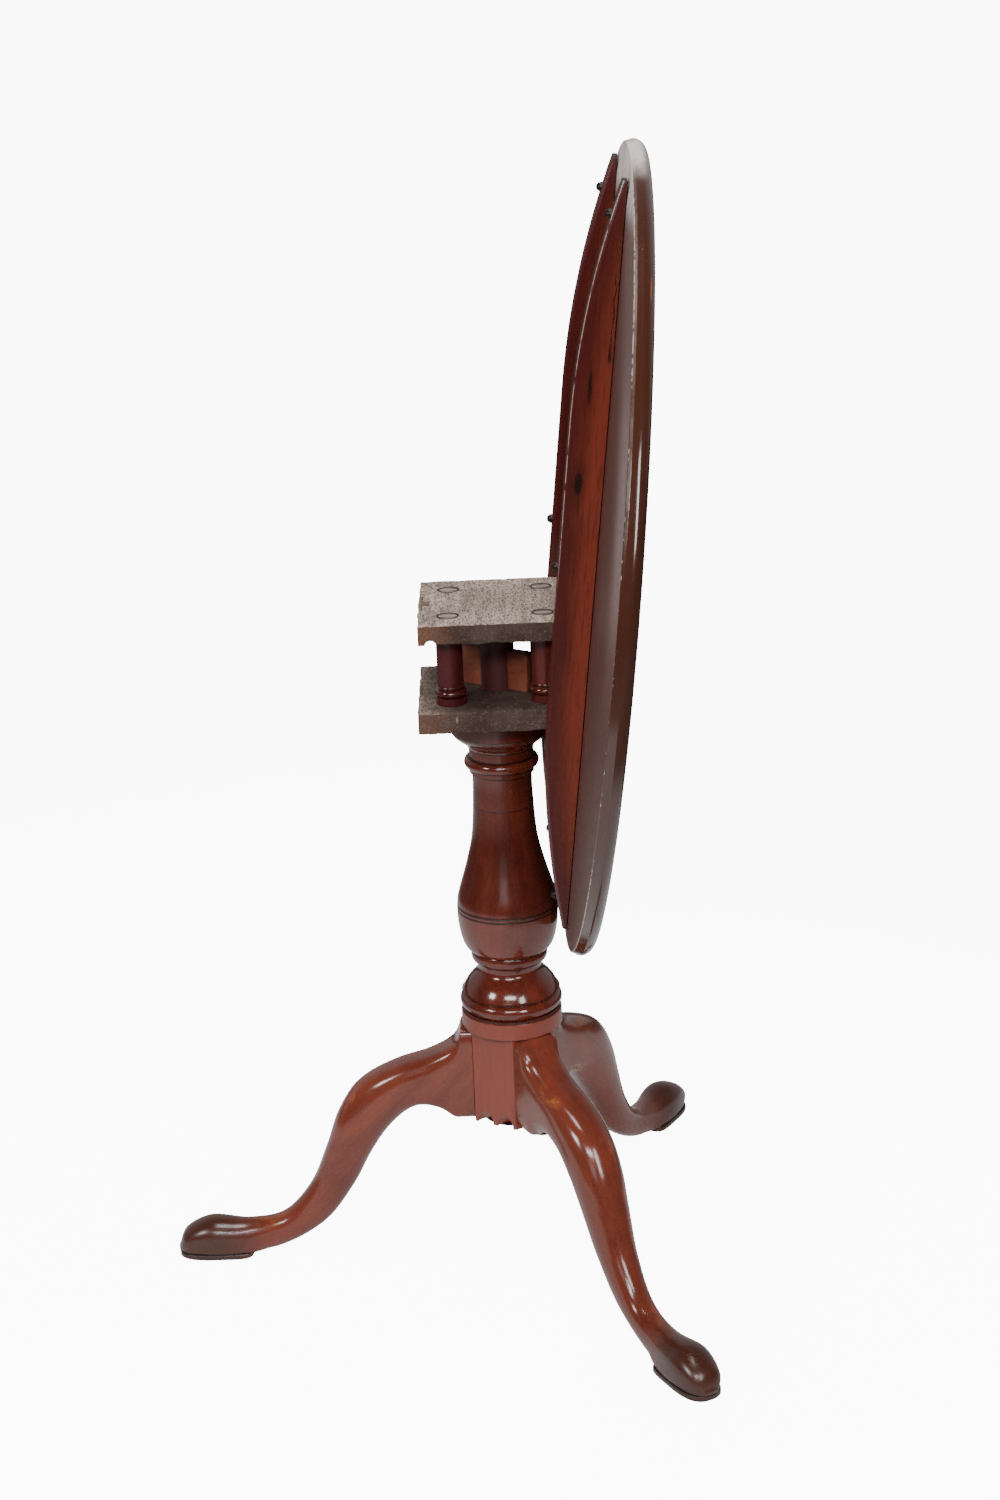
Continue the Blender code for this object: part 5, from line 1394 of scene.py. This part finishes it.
def screw_sets():
    """Every kind of screw: its nodes, its sizes, its places and its metal."""
    bearer = []
    for side in (-1, 1):
        for along in SCREW_PLACES:
            seat = BEARER_TOP - bearer_depth(along) + SCREW_SEAT - FIT
            bearer.append(RAISED @ moved(BEARER_MIDDLE + along, side * BEARER_ACROSS, seat))
    middle = CATCH_EDGE - CATCH_PLATE.x / 2
    along = CATCH_PLATE.x / 2 - CATCH_SCREW_INSET
    across = CATCH_PLATE.y / 2 - CATCH_SCREW_INSET
    plate = [RAISED @ moved(middle + end * along, side * across, CATCH_FACE - FIT)
             for end in (-1, 1) for side in (-1, 1)]
    keeper_side = KEEPER.y / 2 - KEEPER_SCREW_INSET
    height = UPPER_HIGH.z - KEEPER.z / 2
    keeper = [UPRIGHT @ moved(UPPER_LOW.x - FIT, side * keeper_side, height) @ about("Y", pi / 2)
              for side in (-1, 1)]
    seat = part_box("base_plate")[0].z - FIT
    base = [UPRIGHT @ about("Z", angle + turn) @ moved(out, 0.0, seat)
            for out, turn in BASE_SCREW_PLACES for angle in LEGS.values()]
    return (([f"bearer_screw_{k}" for k in range(1, 7)], BEARER_SCREW, bearer, iron_look()),
            ([f"catch_screw_{k}" for k in range(1, 5)], CATCH_SCREW, plate, brass_look()),
            (["keeper_screw_front", "keeper_screw_back"], CATCH_SCREW, keeper, brass_look()),
            ([f"base_plate_screw_{k}" for k in range(1, 7)], BASE_SCREW, base, iron_look()))


class TABLE_OT_screws(bpy.types.Operator):
    """Model one screw of each kind and copy it to its places"""

    bl_idname = "table.screws"
    bl_label = "Screws"

    def execute(self, context):
        for nodes, sizes, places, look in screw_sets():
            first = screw_shape(*sizes)
            for number, (node, place) in enumerate(zip(nodes, places)):
                made = copied(first, "slotted_" + node)
                placed(made, place @ about("Z", SLOT_START + SLOT_TURN * number))
                fit(made, node, look, angle=30.0)
            bpy.data.objects.remove(first)
        dress("base_plate", iron_look())
        return {"FINISHED"}


def metal(name, low, high):
    """A small metal bar with softened edges."""
    made = block(name, low, high)
    bevel(made, is_sharp, shape().metal_round, 2)
    return close(made)


def knob_profile():
    """Turned outline of the catch's knob, from its neck down."""
    seat = BOLT_TOP - BOLT.z - FIT
    points = [(0.0, seat), (KNOB_NECK, seat), (KNOB_NECK, seat - KNOB_WAIST)]
    points += arc((KNOB_NECK, seat - 0.3 * KNOB_HEIGHT), (KNOB_WAIST, 0.16 * KNOB_HEIGHT), 90, 270, 8)
    points += arc((0.0, seat - 0.7 * KNOB_HEIGHT), (KNOB_RADIUS, 0.3 * KNOB_HEIGHT), 52, -88, 16)
    points += [(0.0, seat - KNOB_HEIGHT)]
    return points


class TABLE_OT_catch(bpy.types.Operator):
    """Model the sliding catch under the top and its keeper in the upper board"""

    bl_idname = "table.catch"
    bl_label = "Catch"

    def execute(self, context):
        look = brass_look()
        half = CATCH_PLATE.y / 2
        start = CATCH_EDGE - CATCH_PLATE.x
        back = CATCH_FACE + CATCH_PLATE.z
        plate = metal("brass_catch_plate", (start, -half, CATCH_FACE), (CATCH_EDGE, half, back))
        fit(placed(plate, RAISED), "catch_plate", look)
        half = BOLT.y / 2
        inside = half + RUNNING_FIT
        floor = BOLT_TOP - BOLT.z
        middle = CATCH_EDGE - CATCH_PLATE.x / 2
        for node, end in (("catch_guide_outer", -1), ("catch_guide_inner", 1)):
            low = middle + end * GUIDE_SPACING / 2 - GUIDE_LENGTH / 2
            high = low + GUIDE_LENGTH
            outside = inside + GUIDE_WALL
            base = floor - RUNNING_FIT
            guide = metal("brass_" + node, (low, -outside, base - GUIDE_WALL), (high, outside, BOLT_TOP))
            tunnel = box("tunnel", (low - CUT_PAST, -inside, base),
                         (high + CUT_PAST, inside, BOLT_TOP + CUT_PAST))
            fit(placed(cut(guide, [tunnel]), RAISED), node, look)
        bolt = block("brass_catch_bolt", (CATCH_EDGE - BOLT.x, -half, floor), (CATCH_EDGE, half, BOLT_TOP))
        bevel(bolt, lambda edge: min(vertex.co.x for vertex in edge.verts) > CATCH_EDGE - FIT, BOLT.z / 4, 3)
        bevel(bolt, is_sharp, shape().metal_round, 2)
        fit(placed(close(bolt), RAISED), "catch_bolt", look)
        knob = placed(turned("brass_catch_knob", knob_profile(), KNOB_SIDES),
                      RAISED @ moved(middle - BOLT_TRAVEL / 2, 0.0, 0.0))
        fit(knob, "catch_knob", look)
        low = Vector((UPPER_LOW.x, -KEEPER.y / 2, UPPER_HIGH.z - KEEPER.z))
        keeper = metal("brass_catch_keeper", low, low + KEEPER)
        wide = half + 2 * RUNNING_FIT
        hole = box("hole", (low.x - CUT_PAST, -wide, HINGE.z + floor - RUNNING_FIT),
                   (low.x + KEEPER.x + CUT_PAST, wide, HINGE.z + BOLT_TOP + RUNNING_FIT))
        fit(placed(cut(keeper, [hole]), UPRIGHT), "catch_keeper", look)
        return {"FINISHED"}


def lamp(name, place, target, size, power):
    """A soft lamp that faces a point."""
    place = Vector(place)
    bpy.ops.object.light_add(type="AREA", location=place)
    made = bpy.context.active_object
    made.name = name
    made.rotation_euler = (Vector(target) - place).to_track_quat("-Z", "Y").to_euler()
    made.data.shape = "RECTANGLE"
    made.data.size, made.data.size_y = size
    made.data.energy = power * bpy.context.scene.table_studio.lamp
    made.visible_camera = False


def backdrop():
    """Light from all round, bright behind the table and dim in front, and plain to the camera itself."""
    studio = bpy.context.scene.table_studio
    world = bpy.context.scene.world or bpy.data.worlds.new("studio")
    bpy.context.scene.world = world
    sky = Nodes(world)
    sky.tree.nodes.clear()
    _, depth, height = sky.parts(sky.node("ShaderNodeTexCoord", output="Generated"))
    behind = sky.step(depth, *BACKDROP_DEPTHS, studio.room, studio.backdrop)
    high = sky.step(height, *BACKDROP_HEIGHTS, CEILING_SHARE)
    seen = sky.node("ShaderNodeLightPath", output="Is Camera Ray")
    strength = sky.node("ShaderNodeMix", {}, {0: seen, 2: behind * high, 3: studio.whiteness})
    light = sky.node("ShaderNodeBackground", {}, {"Strength": strength})
    output = sky.tree.nodes.new("ShaderNodeOutputWorld")
    sky.tree.links.new(light.socket, output.inputs["Surface"])


class TABLE_OT_stage(bpy.types.Operator):
    """Lay the floor, set the lamps and stand the camera where the photograph was taken"""

    bl_idname = "table.stage"
    bl_label = "Stage"

    def execute(self, context):
        studio = context.scene.table_studio
        floor = fresh("studio_floor", bpy.ops.mesh.primitive_plane_add, size=FLOOR_SIZE)
        bpy.ops.object.mode_set(mode="OBJECT")
        look = Look("pale_floor")
        place, depth, _ = look.parts(look.local(AXIS))
        near = look.radius(place, depth)
        left = look.step(place, *LEFT_SIDE) * look.step(near, *LEFT_PAPER)
        paper = look.step(near, *PAPER).most(left)
        light = studio.beyond + paper * (1.0 - studio.beyond)
        look.shade = look.mix(light, (0.0, 0.0, 0.0), studio.floor)
        floor.data.materials.append(look.done(0.9, specular=0.0))
        look.shader.inputs["Emission Strength"].default_value = studio.whiteness
        seen = look.node("ShaderNodeLightPath", output="Is Camera Ray")
        glow = seen + light * (studio.floor_glow / studio.whiteness)
        look.tree.links.new(glow.socket, look.shader.inputs["Emission Color"])
        for settings in LAMPS:
            lamp(*settings)
        backdrop()
        bpy.ops.object.camera_add(location=CAMERA_PLACE)
        camera = context.active_object
        flat = cos(CAMERA_PITCH)
        ahead = Vector((sin(CAMERA_YAW) * flat, cos(CAMERA_YAW) * flat, -sin(CAMERA_PITCH)))
        level = Vector((cos(CAMERA_YAW), -sin(CAMERA_YAW), 0.0))
        upward = level.cross(ahead)
        right = level * cos(CAMERA_ROLL) + upward * sin(CAMERA_ROLL)
        up = upward * cos(CAMERA_ROLL) - level * sin(CAMERA_ROLL)
        turn = Matrix((right, up, -ahead)).transposed()
        camera.rotation_euler = turn.to_euler()
        camera.data.lens = CAMERA_LENS
        camera.data.sensor_width = SENSOR_WIDTH
        context.scene.camera = camera
        return {"FINISHED"}


OPERATORS = (TABLE_OT_column, TABLE_OT_legs, TABLE_OT_boards, TABLE_OT_pillars, TABLE_OT_key, TABLE_OT_top,
             TABLE_OT_bearers, TABLE_OT_screws, TABLE_OT_catch, TABLE_OT_stage)


class TABLE_PT_panel(bpy.types.Panel):
    """Buttons for the table's pieces, and its colours and sizes"""

    bl_label = "Tripod Table"
    bl_idname = "TABLE_PT_panel"
    bl_space_type = "VIEW_3D"
    bl_region_type = "UI"
    bl_category = "Table"

    def draw(self, context):
        for operator in OPERATORS:
            self.layout.operator(operator.bl_idname)
        for group in (context.scene.table_shape, context.scene.table_wood, context.scene.table_studio):
            rows = self.layout.box()
            for name in group.__annotations__:
                rows.prop(group, name)


CLASSES = (TableWood, TableShape, TableStudio) + OPERATORS + (TABLE_PT_panel,)


def register():
    """Add the classes and the table's settings."""
    for cls in CLASSES:
        bpy.utils.register_class(cls)
    bpy.types.Scene.table_wood = PointerProperty(type=TableWood)
    bpy.types.Scene.table_shape = PointerProperty(type=TableShape)
    bpy.types.Scene.table_studio = PointerProperty(type=TableStudio)


def unregister():
    """Take them away again."""
    del bpy.types.Scene.table_studio
    del bpy.types.Scene.table_shape
    del bpy.types.Scene.table_wood
    for cls in reversed(CLASSES):
        bpy.utils.unregister_class(cls)


def main():
    """Make every piece and the stage."""
    register()
    bpy.ops.table.column()
    bpy.ops.table.legs()
    bpy.ops.table.boards()
    bpy.ops.table.pillars()
    bpy.ops.table.key()
    bpy.ops.table.top()
    bpy.ops.table.bearers()
    bpy.ops.table.screws()
    bpy.ops.table.catch()
    bpy.ops.table.stage()


if __name__ == "__main__":
    main()
